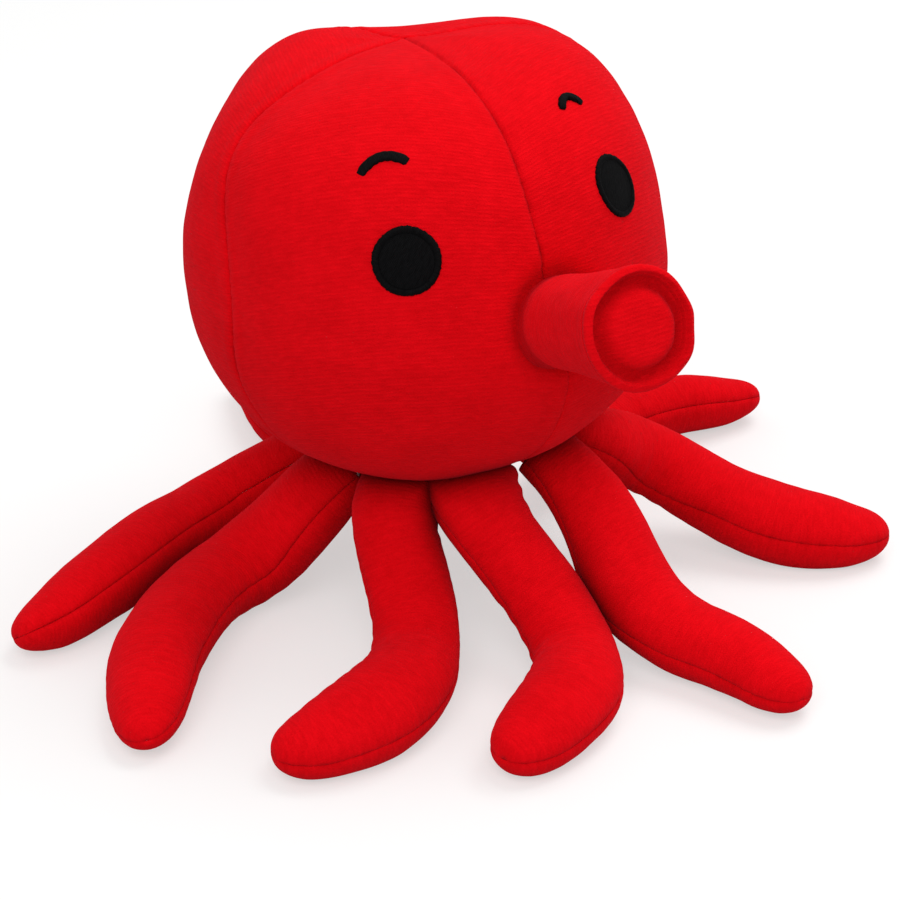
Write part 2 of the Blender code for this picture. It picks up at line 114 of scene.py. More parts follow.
def outwards(azimuth, polar):
    """Direction at an azimuth from the face to the left, and at an angle from straight up."""
    x, y = np.sin(azimuth) * np.sin(polar), -np.cos(azimuth) * np.sin(polar)
    return np.stack((x, y, np.cos(polar)), -1)


def head_surface(azimuth, polar, inset=0.0):
    """Points of the head's surface in its own frame; polar turns from the crown to the base."""
    upper = polar < math.pi / 2
    depth = np.where(upper, CROWN_HEIGHT, BASE_DEPTH) - inset
    fullness = np.where(upper, CROWN_FULLNESS, BASE_FULLNESS)
    across = np.abs(np.sin(polar))
    along = np.cos(polar)
    reach = (across ** fullness + np.abs(along) ** fullness) ** (-1 / fullness)
    draw = SEAM_DRAW * (1 - np.sin(math.pi * gore_place(azimuth)[0]))
    radius = ((HEAD_WIDTH / 2 - inset) * reach - draw) * across
    height = depth * reach * along - CROWN_DIMPLE * np.maximum(0.0, along) ** DIMPLE_SHARPNESS
    # The gores meet a little beside the middle of the crown
    to_left, to_back = crown_shift(polar)
    x, y = radius * np.sin(azimuth) + to_left, -radius * np.cos(azimuth) + to_back
    points = np.stack((x, y, height), -1)
    away = outwards(azimuth, polar)
    for turn, tilt, rise in HEAD_SWELLS:
        middle = outwards(math.radians(turn), math.radians(tilt))
        apart = np.arccos(np.clip(away @ middle, -1.0, 1.0))
        points = points + (rise * bell(apart, SWELL_SPREAD))[..., None] * away
    return points


def head_normal(azimuth, polar):
    """Directions that the head's surface faces, from its slopes over a degree."""
    step = math.radians(1)
    inside = np.clip(polar, step, math.pi - step)
    east = head_surface(azimuth + step, inside) - head_surface(azimuth - step, inside)
    south = head_surface(azimuth, inside + step / 2) - head_surface(azimuth, inside - step / 2)
    normal = np.cross(south, east)
    return normal / np.linalg.norm(normal, axis=-1, keepdims=True)


def polar_at_height(height):
    """Polar angle at which the bare head's surface is this far above or below its middle."""
    share = height / (CROWN_HEIGHT if height > 0 else BASE_DEPTH)
    fullness = CROWN_FULLNESS if height > 0 else BASE_FULLNESS
    return math.atan2((1 - abs(share) ** fullness) ** (1 / fullness), share)


def polar_at_base_radius(radius):
    share = radius / (HEAD_WIDTH / 2)
    return math.atan2(share, -(1 - share ** BASE_FULLNESS) ** (1 / BASE_FULLNESS))


RING_POLAR = polar_at_base_radius(BASE_RING_DIAMETER / 2)


def from_head(points):
    """Points of the head's own frame, placed in the row frame."""
    return points @ LEAN.T + TOY_PLACE + (0.0, 0.0, HEAD_LEVEL)


# The face seam runs into the mouth, so it stands off from the middle at that level and below
FACE_SEAM_SHIFT = math.radians(5.2)
FACE_SEAM_WIDTH = 0.55
FACE_SEAM_LEVELS = (math.radians(58), math.radians(108))
# The right side seam wanders back over the shoulder and forward below it: polar angle, shift
SIDE_SEAM_WANDER = ((math.radians(42), math.radians(-6.5)), (math.radians(76), math.radians(2.6)))
SIDE_SEAM_SPREAD = math.radians(16)
SIDE_SEAM_WIDTH = 0.5


def eased(share):
    """A share held between 0 and 1, and smoothed at both ends."""
    share = np.clip(share, 0.0, 1.0)
    return share * share * (3 - 2 * share)


def face_seam_shift(azimuth, polar):
    """How far the cloth beside the face seam is turned to the left at each level."""
    first, last = FACE_SEAM_LEVELS
    to_ring = np.sqrt(np.clip((RING_POLAR - polar) / (RING_POLAR - last), 0.0, 1.0))
    from_face = (azimuth + math.pi) % (2 * math.pi) - math.pi
    shift = FACE_SEAM_SHIFT * eased((polar - first) / (last - first)) * to_ring
    return shift * bell(from_face, FACE_SEAM_WIDTH)


def side_seam_shift(azimuth, polar):
    """How far the cloth beside the right side seam is turned forward at each level."""
    from_side = (azimuth + SIDE_SEAM + math.pi) % (2 * math.pi) - math.pi
    shift = sum(wander * bell(polar - level, SIDE_SEAM_SPREAD)
                for level, wander in SIDE_SEAM_WANDER)
    return shift * bell(from_side, SIDE_SEAM_WIDTH)


# The mouth's place. The gores are drawn in around its root, and painted shade darkens them there
MOUTH_ROOT_DIAMETER = 0.0255
MOUTH_LEVEL = 0.001
MOUTH_PITCH = math.radians(13.1)
MOUTH_YAW = math.radians(-0.3)
MOUTH_AZIMUTH = math.radians(3.5)
MOUTH_AXIS = np.array((math.sin(MOUTH_YAW) * math.cos(MOUTH_PITCH),
                       -math.cos(MOUTH_YAW) * math.cos(MOUTH_PITCH), math.sin(MOUTH_PITCH)))
MOUTH_DRAW = 0.0026
MOUTH_DRAW_REACH = 0.0036
MOUTH_SHADE = 0.36
MOUTH_SHADE_REACH = 0.0019
MOUTH_PLACE = head_surface(np.array(MOUTH_AZIMUTH), np.array(polar_at_height(MOUTH_LEVEL)))

# Sewn edges: the groove at the seam, the lip beside it and the puckers across both, and the
# broad valley that the seams draw into the upper head
GROOVE_DEPTH = 0.00068
GROOVE_REACH = 0.0007
LIP_HEIGHT = 0.00022
LIP_DISTANCE = 0.0032
LIP_REACH = 0.0016
PUCKER_DEPTH = 0.0002
PUCKER_PITCH = 0.0038
PUCKER_REACH = 0.0030
PUCKER_STRENGTH = 0.6
PUCKER_CHANGE_RUN = 0.0114
PUCKER_WANDER = 2.5
PUCKER_WANDER_RUN = 0.019
VALLEY_DEPTH = 0.0013
VALLEY_REACH = 0.012


def lumps(points, size, seed):
    """Smooth noise at each point, from -1 to 1, whose swells are about this size or run."""
    flat = (points.reshape(-1, 3) / size + seed).tolist()
    return np.array([noise.noise(place) for place in flat]).reshape(points.shape[:-1])


def sewn_edge(distance, along, points):
    """How far cloth stands out beside its seam, at a distance from it and a place along it."""
    wander = PUCKER_WANDER * lumps(points, PUCKER_WANDER_RUN, 11.0)
    strength = PUCKER_STRENGTH + lumps(points, PUCKER_CHANGE_RUN, 17.0)
    groove = -GROOVE_DEPTH * bell(distance, GROOVE_REACH)
    lip = LIP_HEIGHT * bell(distance - LIP_DISTANCE, LIP_REACH)
    pucker = np.sin(2 * math.pi * along / PUCKER_PITCH + wander) * np.exp(-distance / PUCKER_REACH)
    return groove + lip + PUCKER_DEPTH * strength * pucker


# The dark line of stitching changes from stitch to stitch and along the seam. The pile hides it
# on the lower half and makes it faint near the crown
STITCH_REACH = 0.0006
STITCH_SHADE = 0.23
STITCH_SHADE_CHANGE = 0.45
SEAM_SHADE_CHANGE = 0.22
SEAM_SHADE_RUN = 0.0228
STITCH_SHADE_LIMITS = (0.05, 0.52)
SEAM_HIDDEN = 0.65
HIDDEN_LEVELS = (math.radians(93), math.radians(106))
CROWN_FAINTNESS = 0.5


def stitch_line(distance, points):
    """How dark the stitching makes the cloth, from 0 to 1, at this distance from its seam."""
    strength = STITCH_SHADE + STITCH_SHADE_CHANGE * lumps(points, PUCKER_PITCH, 41.0)
    strength += SEAM_SHADE_CHANGE * lumps(points, SEAM_SHADE_RUN, 43.0)
    return np.clip(strength, *STITCH_SHADE_LIMITS) * bell(distance, STITCH_REACH)


def arc_lengths(points, axis):
    """Length along each line of a grid of points, from its start to each point."""
    steps = np.linalg.norm(np.diff(points, axis=axis), axis=-1)
    start = np.zeros_like(np.take(steps, [0], axis=axis))
    return np.concatenate((start, np.cumsum(steps, axis=axis)), axis=axis)


def quads(grid):
    """Four-cornered faces between the neighbours of a grid of point numbers."""
    corners = (grid[:-1, :-1], grid[:-1, 1:], grid[1:, 1:], grid[1:, :-1])
    return np.stack(corners, -1).reshape(-1, 4)


# Points closer than this become one point
WELD_DISTANCE = SEAM_GAP / 100


def make_piece(name, surfaces, cloth, seam, material, wrap=False):
    """Closed body from one grid of points that closes on itself, or from an outer and an inner one.

    cloth holds each corner's place on the flat cloth, and seam how dark its stitching and painted
    shade make the pile there.
    """
    rows, columns = surfaces[0].shape[:2]
    corners = np.arange(rows * columns).reshape(rows, columns)
    places = np.arange(cloth.shape[0] * cloth.shape[1]).reshape(cloth.shape[:2])
    if wrap:
        corners = np.hstack((corners, corners[:, :1]))
    faces = [quads(corners)]
    spots = [quads(places)]
    if len(surfaces) == 2:
        lining = corners + rows * columns
        faces.append(quads(lining))
        spots.append(quads(places))
        for edge in (0, -1):
            faces.append(quads(np.stack((corners[edge], lining[edge]))))
            spots.append(quads(np.stack((places[edge], places[edge]))))
            if not wrap:
                faces.append(quads(np.stack((corners[:, edge], lining[:, edge]))))
                spots.append(quads(np.stack((places[:, edge], places[:, edge]))))
    mesh = bpy.data.meshes.new(name)
    points = np.concatenate([surface.reshape(-1, 3) for surface in surfaces])
    mesh.from_pydata(points.tolist(), [], np.concatenate(faces).tolist())
    layer = mesh.uv_layers.new(name="cloth")
    layer.data.foreach_set("uv", cloth.reshape(-1, 2)[np.concatenate(spots)].ravel())
    mask = mesh.attributes.new("seam", "FLOAT", "POINT")
    mask.data.foreach_set("value", np.tile(seam.ravel(), len(surfaces)))
    bm = bmesh.new()
    bm.from_mesh(mesh)
    bmesh.ops.remove_doubles(bm, verts=bm.verts, dist=WELD_DISTANCE)
    bmesh.ops.recalc_face_normals(bm, faces=bm.faces)
    if bm.calc_volume(signed=True) < 0:
        bmesh.ops.reverse_faces(bm, faces=bm.faces)
    bm.to_mesh(mesh)
    bm.free()
    mesh.materials.append(material)
    mesh.shade_smooth()
    piece = bpy.data.objects.new(name, mesh)
    bpy.context.scene.collection.objects.link(piece)
    return piece


# Knit: ribs across the panel, pile in clumps, and broad patches where the pile lies differently
RIB_PITCH = 0.0012
RIB_WANDER = 0.0008
RIB_WANDER_SIZE = 0.006
RIB_STRENGTH = 0.55
RIB_CLUMPING = 1.5
PILE_SIZE = 0.00045
CLUMP_SIZE = 0.0016
CLUMP_SHORTNESS = 0.45
PATCH_SIZE = 0.014
# How much each of them lightens the cloth, and how far it stands out
PLUSH_SHADE = 0.60
RIB_SHADE, PILE_SHADE, CLUMP_SHADE, PATCH_SHADE = 0.065, 0.60, 0.55, 0.45
RIB_RELIEF, PILE_RELIEF, CLUMP_RELIEF = 0.26, 1.1, 0.9
PLUSH_BUMP = {"Strength": 0.55, "Distance": 0.0004}
PLUSH_DARK = (0.50, 0.0010, 0.0025, 1.0)
PLUSH_LIGHT = (0.90, 0.0032, 0.0085, 1.0)
# Colour of the stitching, and of the painted shade in folds, at the mouth's root and in its groove
PLUSH_STITCH_AND_SHADE = (0.04, 0.0001, 0.0002, 1.0)
PLUSH_FINISH = {"Roughness": 0.95, "Specular IOR Level": 0.02, "Sheen Weight": 0.17,
                "Sheen Roughness": 0.45, "Sheen Tint": (1.0, 0.09, 0.14, 1.0)}


def wire(tree, socket, value):
    """Give a socket its value, or link it to the output that makes the value."""
    if isinstance(value, bpy.types.NodeSocket):
        tree.links.new(value, socket)
    else:
        socket.default_value = value


def calculate(tree, operation, *values):
    """Output of a sum with these values or outputs."""
    node = tree.nodes.new("ShaderNodeMath")
    node.operation = operation
    for socket, value in zip(node.inputs, values):
        wire(tree, socket, value)
    return node.outputs[0]


def grain(tree, place, spacing, detail=1.0):
    """Noise about a mean of 0 whose grains lie about this far apart on the cloth."""
    node = tree.nodes.new("ShaderNodeTexNoise")
    node.inputs["Scale"].default_value = 1 / spacing
    node.inputs["Detail"].default_value = detail
    wire(tree, node.inputs["Vector"], place)
    return calculate(tree, "SUBTRACT", node.outputs[0], 0.5)


def weighted(tree, total, *parts):
    """A value with each of the outputs added to it, times its weight."""
    for part, weight in parts:
        total = calculate(tree, "MULTIPLY_ADD", part, weight, total)
    return total


def stretched(tree, place, across, along):
    """A place on the cloth scaled by these two factors."""
    node = tree.nodes.new("ShaderNodeVectorMath")
    node.operation = "MULTIPLY"
    wire(tree, node.inputs[0], place)
    node.inputs[1].default_value = (across, along, 1.0)
    return node.outputs[0]


def waves(tree, place, axis, pitch, wander, wander_size):
    """Even waves along one axis of the cloth, from -1 to 1, whose lines wander a little."""
    split = tree.nodes.new("ShaderNodeSeparateXYZ")
    wire(tree, split.inputs[0], place)
    shift = calculate(tree, "MULTIPLY", grain(tree, place, wander_size), wander)
    along = calculate(tree, "ADD", split.outputs[axis], shift)
    return calculate(tree, "SINE", calculate(tree, "MULTIPLY", along, 2 * math.pi / pitch))


def mixed(tree, factor, first, second):
    """Colour between the first one, at a factor of 0, and the second."""
    node = tree.nodes.new("ShaderNodeMix")
    node.data_type = "RGBA"
    wire(tree, node.inputs["Factor"], factor)
    wire(tree, node.inputs[6], first)
    wire(tree, node.inputs[7], second)
    return node.outputs[2]


def new_group(name, *outputs):
    """Group of shader nodes with these outputs, its place on the flat cloth and its last node."""
    group = bpy.data.node_groups.new(name, "ShaderNodeTree")
    for output in outputs:
        group.interface.new_socket(output, in_out="OUTPUT", socket_type="NodeSocketFloat")
    place = group.nodes.new("ShaderNodeUVMap")
    place.uv_map = "cloth"
    return group, place.outputs[0], group.nodes.new("NodeGroupOutput")


def knit_group():
    """Brushed ribs: how light the pile is, and how high it stands."""
    group, place, output = new_group("brushed_ribs", "Shade", "Height")
    rib = waves(group, place, "Y", RIB_PITCH, RIB_WANDER, RIB_WANDER_SIZE)
    clump = grain(group, stretched(group, place, CLUMP_SHORTNESS, 1.0), CLUMP_SIZE)
    pile = grain(group, place, PILE_SIZE, 2.0)
    patch = grain(group, place, PATCH_SIZE, 2.0)
    strength = weighted(group, RIB_STRENGTH, (clump, RIB_CLUMPING))
    ribs = calculate(group, "MULTIPLY", rib, strength)
    wire(group, output.inputs["Shade"], weighted(
        group, PLUSH_SHADE, (ribs, RIB_SHADE), (pile, PILE_SHADE), (clump, CLUMP_SHADE),
        (patch, PATCH_SHADE)))
    wire(group, output.inputs["Height"], weighted(
        group, 0.0, (ribs, RIB_RELIEF), (pile, PILE_RELIEF), (clump, CLUMP_RELIEF)))
    return group


def textile(name, group, dark, light, finish, relief, stitch_and_shade=None):
    """Material that takes its shade and, from the last output, its relief from a group of nodes.

    finish and relief hold values for the shader and the bump; the last argument is the colour that
    the seam attribute mixes in, of the stitching and of painted shade.
    """
    material = bpy.data.materials.new(name)
    material.use_nodes = True
    tree = material.node_tree
    shader = tree.nodes["Principled BSDF"]
    surface = tree.nodes.new("ShaderNodeGroup")
    surface.node_tree = group
    colour = mixed(tree, surface.outputs["Shade"], dark, light)
    if stitch_and_shade:
        # The seam attribute darkens the cloth with its stitching and with painted shade
        seam = tree.nodes.new("ShaderNodeAttribute")
        seam.attribute_name = "seam"
        colour = mixed(tree, seam.outputs["Fac"], colour, stitch_and_shade)
    wire(tree, shader.inputs["Base Color"], colour)
    bump = tree.nodes.new("ShaderNodeBump")
    wire(tree, bump.inputs["Height"], surface.outputs[-1])
    wire(tree, shader.inputs["Normal"], bump.outputs[0])
    for node, values in ((shader, finish), (bump, relief)):
        for socket, value in values.items():
            node.inputs[socket].default_value = value
    return material


plush = textile("brushed_plush", knit_group(), PLUSH_DARK, PLUSH_LIGHT, PLUSH_FINISH, PLUSH_BUMP,
                PLUSH_STITCH_AND_SHADE)


GORE_NAMES = ("front_left", "back_left", "back_right", "front_right")
GORE_COLUMNS = 64
GORE_ROWS = 150
EDGE_FINENESS = 0.75
RIB_STRAIGHTNESS = 0.65
# An angle or length too small to see, which keeps neighbours apart
TRIFLE = 1e-9

# Swells that the stuffing leaves in the cloth
LUMP_SIZE = 0.024
LUMP_HEIGHT = 0.0006
RIPPLE_SIZE = 0.007
RIPPLE_HEIGHT = 0.00012


def make_gore(name, start, end):
    across = np.linspace(0.0, 1.0, GORE_COLUMNS + 1)
    # Columns lie closer together near the seams
    across -= EDGE_FINENESS * np.sin(2 * math.pi * across) / (2 * math.pi)
    azimuth, polar = np.meshgrid(start + (end - start) * across,
                                 np.linspace(0.0, RING_POLAR, GORE_ROWS + 1))
    # The last column belongs to this gore, and not to the one that follows
    azimuth = np.clip(azimuth, start + TRIFLE, end - TRIFLE)
    seam_angle = gore_place(azimuth)[1]
    azimuth = azimuth + face_seam_shift(azimuth, polar) + side_seam_shift(azimuth, polar)
    points = head_surface(azimuth, polar)
    normal = head_normal(azimuth, polar)
    down = arc_lengths(points, 0)
    to_left, to_back = crown_shift(polar)
    radius = np.hypot(points[..., 0] - to_left, points[..., 1] - to_back)
    beside = seam_angle * radius
    from_seam = np.minimum(beside, down[-1] - down)
    arm = points - MOUTH_PLACE
    from_mouth = np.linalg.norm(np.cross(arm, MOUTH_AXIS), axis=-1) - MOUTH_ROOT_DIAMETER / 2
    in_front = arm @ MOUTH_AXIS > -MOUTH_ROOT_DIAMETER
    first, last = HIDDEN_LEVELS
    shown = 1 - SEAM_HIDDEN * np.clip((polar - first) / (last - first), 0.0, 1.0)
    near_crown = np.maximum(0.0, np.cos(polar))
    rise = sewn_edge(from_seam, down, points) * shown
    rise += LUMP_HEIGHT * lumps(points, LUMP_SIZE, 3.0)
    rise += RIPPLE_HEIGHT * lumps(points, RIPPLE_SIZE, 7.0)
    rise -= VALLEY_DEPTH * bell(beside, VALLEY_REACH) * np.sqrt(near_crown)
    rise -= MOUTH_DRAW * bell(from_mouth, MOUTH_DRAW_REACH) * in_front
    outer = points + rise[..., None] * normal
    # The four gores meet in one point at the crown
    outer[0] = points[0, 0] - (0.0, 0.0, GROOVE_DEPTH + VALLEY_DEPTH)
    inner = head_surface(azimuth, polar, FABRIC) + np.minimum(rise, 0.0)[..., None] * normal / 2
    inner[0] = outer[0] - (0.0, 0.0, FABRIC / 2)
    # The ribs run straight across the flat panel, so they bow down towards its seams
    middle = (start + end) / 2
    bow = (azimuth - middle) * (1 - RIB_STRAIGHTNESS * eased(2 * polar / math.pi))
    cloth = np.stack(((azimuth - middle) * radius + middle, down * np.cos(bow)), -1)
    # Each gore stands off a little from its seams
    set_off = SEAM_STAND_OFF * outwards(middle, math.pi / 2)
    surfaces = [from_head(surface + set_off) for surface in (outer, inner)]
    stitches = stitch_line(from_seam, points) * shown * (1 - CROWN_FAINTNESS * near_crown)
    # Painted shade on the gores round the mouth's root
    crease = MOUTH_SHADE * bell(np.maximum(from_mouth, 0.0), MOUTH_SHADE_REACH) * in_front
    return make_piece(name, surfaces, cloth, np.maximum(stitches, crease), plush)


cloth_of = {"head": []}
for gore, first, last in zip(GORE_NAMES, GORE_SEAMS, GORE_SEAMS[1:]):
    panel = make_gore(f"plush_gore_{gore}", first, last)
    cloth_of["head"].append(panel)
    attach(panel, "head")
    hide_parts(f"gore_{gore}")


# Base panel
#
# A round of the same plush closes the head from below, sewn to the four gores along the ring seam
# that the legs are caught in. It sags a little between the legs and puckers at its edge.

BASE_COLUMNS = 120
BASE_ROWS = 16
BASE_PUCKERS = 44
BASE_SAG = 0.0008


def make_base():
    azimuth, polar = np.meshgrid(np.linspace(0.0, 2 * math.pi, BASE_COLUMNS, endpoint=False),
                                 np.linspace(math.pi, RING_POLAR, BASE_ROWS + 1))
    points = head_surface(azimuth, polar)
    out = arc_lengths(points, 0)
    from_seam = out[-1] - out
    rise = sewn_edge(from_seam, azimuth * BASE_RING_DIAMETER / 2, points)
    rise += BASE_SAG * np.cos(math.pi / 2 * out / out[-1])
    pucker = np.sin(BASE_PUCKERS * azimuth) * np.exp(-from_seam / PUCKER_REACH)
    outer = points + (rise + PUCKER_DEPTH * pucker)[..., None] * head_normal(azimuth, polar)
    outer[0] = outer[0, 0]
    inner = head_surface(azimuth, polar, FABRIC)
    inner[-1] -= (0.0, 0.0, GROOVE_DEPTH / 2)
    whole = np.linspace(0.0, 2 * math.pi, BASE_COLUMNS + 1)
    cloth = np.stack((out[:, :1] * np.sin(whole), out[:, :1] * np.cos(whole)), -1)
    seam = stitch_line(from_seam, points)
    surfaces = [from_head(outer), from_head(inner)]
    return make_piece("plush_base_panel", surfaces, cloth, seam, plush, wrap=True)


base = make_base()
cloth_of["head"].append(base)
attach(base, "head")
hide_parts("base_panel")


# Filling of the head
#
# A ball of loose white polyester fibre, packed firmly inside the cloth. It can't be seen, and it
# keeps the shape of the panels around it, with the soft unevenness of hand stuffing.

FILLING_COLUMNS = 64
FILLING_ROWS = 48
FILLING_ROOM = 0.0046
TUFT_SIZE = 0.009
TUFT_HEIGHT = 0.0005
FIBRE_SIZE = 0.0006
FIBRE_LENGTHENING = 0.2
FIBRE_SHADE = 0.5
STRAND_SHADE, TUFT_SHADE = 1.2, 0.8
FIBRE_DARK = (0.74, 0.74, 0.72, 1.0)
FIBRE_LIGHT = (0.92, 0.92, 0.90, 1.0)
FIBRE_FINISH = {"Roughness": 1.0, "Sheen Weight": 0.3}
FIBRE_BUMP = {"Strength": 0.6, "Distance": 0.0005}


def tangle_group():
    """Tangled strands, and the tufts that the fibre is pulled into as it is stuffed."""
    group, place, output = new_group("tangled_fibre", "Shade")
    strand = grain(group, stretched(group, place, FIBRE_LENGTHENING, 1.0), FIBRE_SIZE, 3.0)
    tuft = grain(group, place, TUFT_SIZE, 2.0)
    wire(group, output.inputs["Shade"], weighted(
        group, FIBRE_SHADE, (strand, STRAND_SHADE), (tuft, TUFT_SHADE)))
    return group


fibre = textile("loose_fibre", tangle_group(), FIBRE_DARK, FIBRE_LIGHT, FIBRE_FINISH, FIBRE_BUMP)


def make_filling(name, rings):
    """Closed fibre body through rings of points, whose first and last ones are single points."""
    tufts = TUFT_HEIGHT * lumps(rings, TUFT_SIZE, 23.0)
    middle = rings.mean(axis=1, keepdims=True)
    arm = rings - middle
    length = np.maximum(np.linalg.norm(arm, axis=-1, keepdims=True), WELD_DISTANCE)
    rings = rings + tufts[..., None] * arm / length * (length > SEAM_GAP)
    rings[0] = rings[0, 0]
    rings[-1] = rings[-1, 0]
    around = np.hstack((rings, rings[:, :1]))
    cloth = np.stack((arc_lengths(around, 1), arc_lengths(around, 0)), -1)
    return make_piece(name, [rings], cloth, np.zeros(rings.shape[:2]), fibre, wrap=True)


azimuths, polars = np.meshgrid(np.linspace(0.0, 2 * math.pi, FILLING_COLUMNS, endpoint=False),
                               np.linspace(0.0, math.pi, FILLING_ROWS + 1))
ball = make_filling("fibre_head", from_head(head_surface(azimuths, polars, FILLING_ROOM)))
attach(ball, "head")
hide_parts("head_filling")


# Eyes and brows
#
# Black satin stitching laid on the gores: each eye is a round filled with slanting rows, then
# edged with a raised ring of stitches that point outwards. A brow is one short arched band. The
# thread stands about a millimetre proud and its edge is slightly uneven.

THREAD_PITCH = 0.00042
THREAD_WANDER = 0.00084
THREAD_WANDER_SIZE = 0.0018
GLOSS_SIZE = 0.0007
GLOSS_LENGTHENING = 0.3
SATIN_SHADE = 0.42
THREAD_SHADE, GLOSS_SHADE = 0.28, 1.3
THREAD_DARK = (0.0008, 0.0008, 0.0010, 1.0)
THREAD_LIGHT = (0.0052, 0.0052, 0.0058, 1.0)
THREAD_FINISH = {"Roughness": 0.6, "Specular IOR Level": 0.05}
THREAD_BUMP = {"Strength": 0.7, "Distance": 0.0002}


def satin_group():
    """Threads laid side by side, with the uneven gloss of stitches that lie higher or lower."""
    group, place, output = new_group("laid_thread", "Shade")
    thread = waves(group, place, "X", THREAD_PITCH, THREAD_WANDER, THREAD_WANDER_SIZE)
    gloss = grain(group, stretched(group, place, 1.0, GLOSS_LENGTHENING), GLOSS_SIZE, 2.0)
    wire(group, output.inputs["Shade"], weighted(
        group, SATIN_SHADE, (thread, THREAD_SHADE), (gloss, GLOSS_SHADE)))
    return group


satin = textile("satin_thread", satin_group(), THREAD_DARK, THREAD_LIGHT, THREAD_FINISH,
                THREAD_BUMP)


PATCH_SINK = 0.0007
PATCH_EDGE = 0.999
PATCH_COLUMNS = 144
PATCH_ROWS = 26
PATCH_EDGE_FINENESS = 1.4
RAGGED_SHARPNESS = 8


def laid_on_head(azimuth, height, x, y, lift):
    """Points at x to the left and y up from a place on the head, lifted off its surface.

    Each point starts at that place, and six steps along the surface's slopes bring it home.
    """
    azimuth = np.full(x.shape, azimuth)
    polar = np.full(x.shape, polar_at_height(height))
    centre = head_surface(azimuth, polar)
    normal = head_normal(azimuth, polar)
    east = np.stack((np.cos(azimuth), np.sin(azimuth), np.zeros_like(azimuth)), -1)
    north = np.cross(normal, east)
    step = math.radians(0.1)
    for _ in range(6):
        here = head_surface(azimuth, polar)
        by_azimuth = (head_surface(azimuth + step, polar) - here) / step
        by_polar = (head_surface(azimuth, polar + step) - here) / step
        miss_x = x - ((here - centre) * east).sum(-1)
        miss_y = y - ((here - centre) * north).sum(-1)
        a, b = (by_azimuth * east).sum(-1), (by_polar * east).sum(-1)
        c, d = (by_azimuth * north).sum(-1), (by_polar * north).sum(-1)
        whole = a * d - b * c
        azimuth = azimuth + (d * miss_x - b * miss_y) / whole
        polar = polar + (a * miss_y - c * miss_x) / whole
    return from_head(head_surface(azimuth, polar) + lift[..., None] * head_normal(azimuth, polar))


def make_patch(name, azimuth, height, outline, profile, cloth, side):
    """Raised stitching: outline gives its points by share from the middle, profile their lift."""
    # Rows lie closer together towards the edge
    share = 1 - (1 - np.linspace(0.0, 1.0, PATCH_ROWS + 1)) ** PATCH_EDGE_FINENESS
    around = np.linspace(0.0, 2 * math.pi, PATCH_COLUMNS + 1)
    share, around = np.meshgrid(share, around, indexing="ij")
    x, y = outline(share, around, side)
    lift = profile(share)[:, :-1]
    top, under = (laid_on_head(azimuth, height, x[:, :-1], y[:, :-1], level)
                  for level in (lift, np.full_like(lift, -PATCH_SINK)))
    patch = make_piece(name, [top, under], cloth(share, around, x, y), np.zeros_like(lift), satin,
                       wrap=True)
    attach(patch, "head")
    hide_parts(name.replace("satin_", ""))


# Each eye's width and height, and how far it leans; the left one was stitched narrower
EYE_SIZES = {"left": (0.0156, 0.0188), "right": (0.0190, 0.0192)}
EYE_SLANT = {"left": -0.13, "right": 0.0}
EYE_BORDER = 0.21
EYE_FIELD_HEIGHT = 0.0006
EYE_FIELD_DIP = 0.25
EYE_BORDER_HEIGHT = 0.0009
EYE_ROW_SLANT = math.atan(3 / 4)
EYE_UNEVENNESS = 0.0000846
# Waves of the uneven edge: how many go round, how high, how far they wander, and how often
EYE_EDGE_WAVES = ((29, 1.0, 2, 3), (47, 0.8, 3, 5), (71, 0.7, 2, 4), (5, 0.8, 0, 1))


def eye_outline(share, around, side):
    """An oval with the ragged edge that single stitches leave."""
    ragged = sum(high * np.sin(count * around + wander * np.sin(often * around))
                 for count, high, wander, often in EYE_EDGE_WAVES)
    uneven = EYE_UNEVENNESS * ragged * share ** RAGGED_SHARPNESS
    width, height = EYE_SIZES[side]
    y = share * (height / 2 + uneven) * np.sin(around)
    return share * (width / 2 + uneven) * np.cos(around) + EYE_SLANT[side] * y, y


def eye_profile(share):
    """A field that dips towards its border, and a border rolled like a cord."""
    roll = 1 - ((share - (1 - EYE_BORDER / 2)) / (EYE_BORDER / 2)) ** 2
    field = EYE_FIELD_HEIGHT * (1 - EYE_FIELD_DIP * (share / (1 - EYE_BORDER)) ** 4)
    ring = EYE_BORDER_HEIGHT * np.sqrt(np.maximum(roll, 0.0))
    lift = np.where(share > 1 - EYE_BORDER / 2, ring, np.maximum(field, ring))
    return lift - PATCH_SINK * (share > PATCH_EDGE)


def eye_cloth(share, around, x, y):
    """Slanting rows in the field, and stitches that point outwards in the border."""
    border = share > 1 - EYE_BORDER
    radius = np.hypot(x, y).max()
    cosine, sine = math.cos(EYE_ROW_SLANT), math.sin(EYE_ROW_SLANT)
    return np.stack((np.where(border, around * radius, cosine * x - sine * y),
                     np.where(border, share * radius, sine * x + cosine * y)), -1)


# Each brow's span, width and slant; the left one was stitched a little smaller
BROW_SIZES = {"left": (0.0094, 0.0023, math.radians(-11)),
              "right": (0.0150, 0.0030, math.radians(12))}
BROW_RISE = 0.0034
BROW_BLUNTNESS = 7
BROW_STITCH_HEIGHT = 0.0010
BROW_ROW_SLANT = 0.25
BROW_UNEVENNESS = 0.00011
BROW_EDGE_WAVES = 23


def brow_outline(share, around, side):
    """A band of even width along an arch, with blunt ends, turned by its slant."""
    along, across = np.cos(around), np.sin(around)
    corner = np.abs(along) ** BROW_BLUNTNESS + np.abs(across) ** BROW_BLUNTNESS
    reach = corner ** (-1 / BROW_BLUNTNESS)
    span, breadth, turn = BROW_SIZES[side]
    half_span = span / 2 - breadth / 4
    place = share * along * reach
    slope = -2 * BROW_RISE * place / half_span
    ragged = np.sin(BROW_EDGE_WAVES * around) * share ** RAGGED_SHARPNESS
    width = breadth / 2 + BROW_UNEVENNESS * ragged
    offset = width * share * across * reach / np.sqrt(1 + slope ** 2)
    x = half_span * place - slope * offset
    y = BROW_RISE * (0.4 - place ** 2) + offset
    return x * math.cos(turn) - y * math.sin(turn), x * math.sin(turn) + y * math.cos(turn)


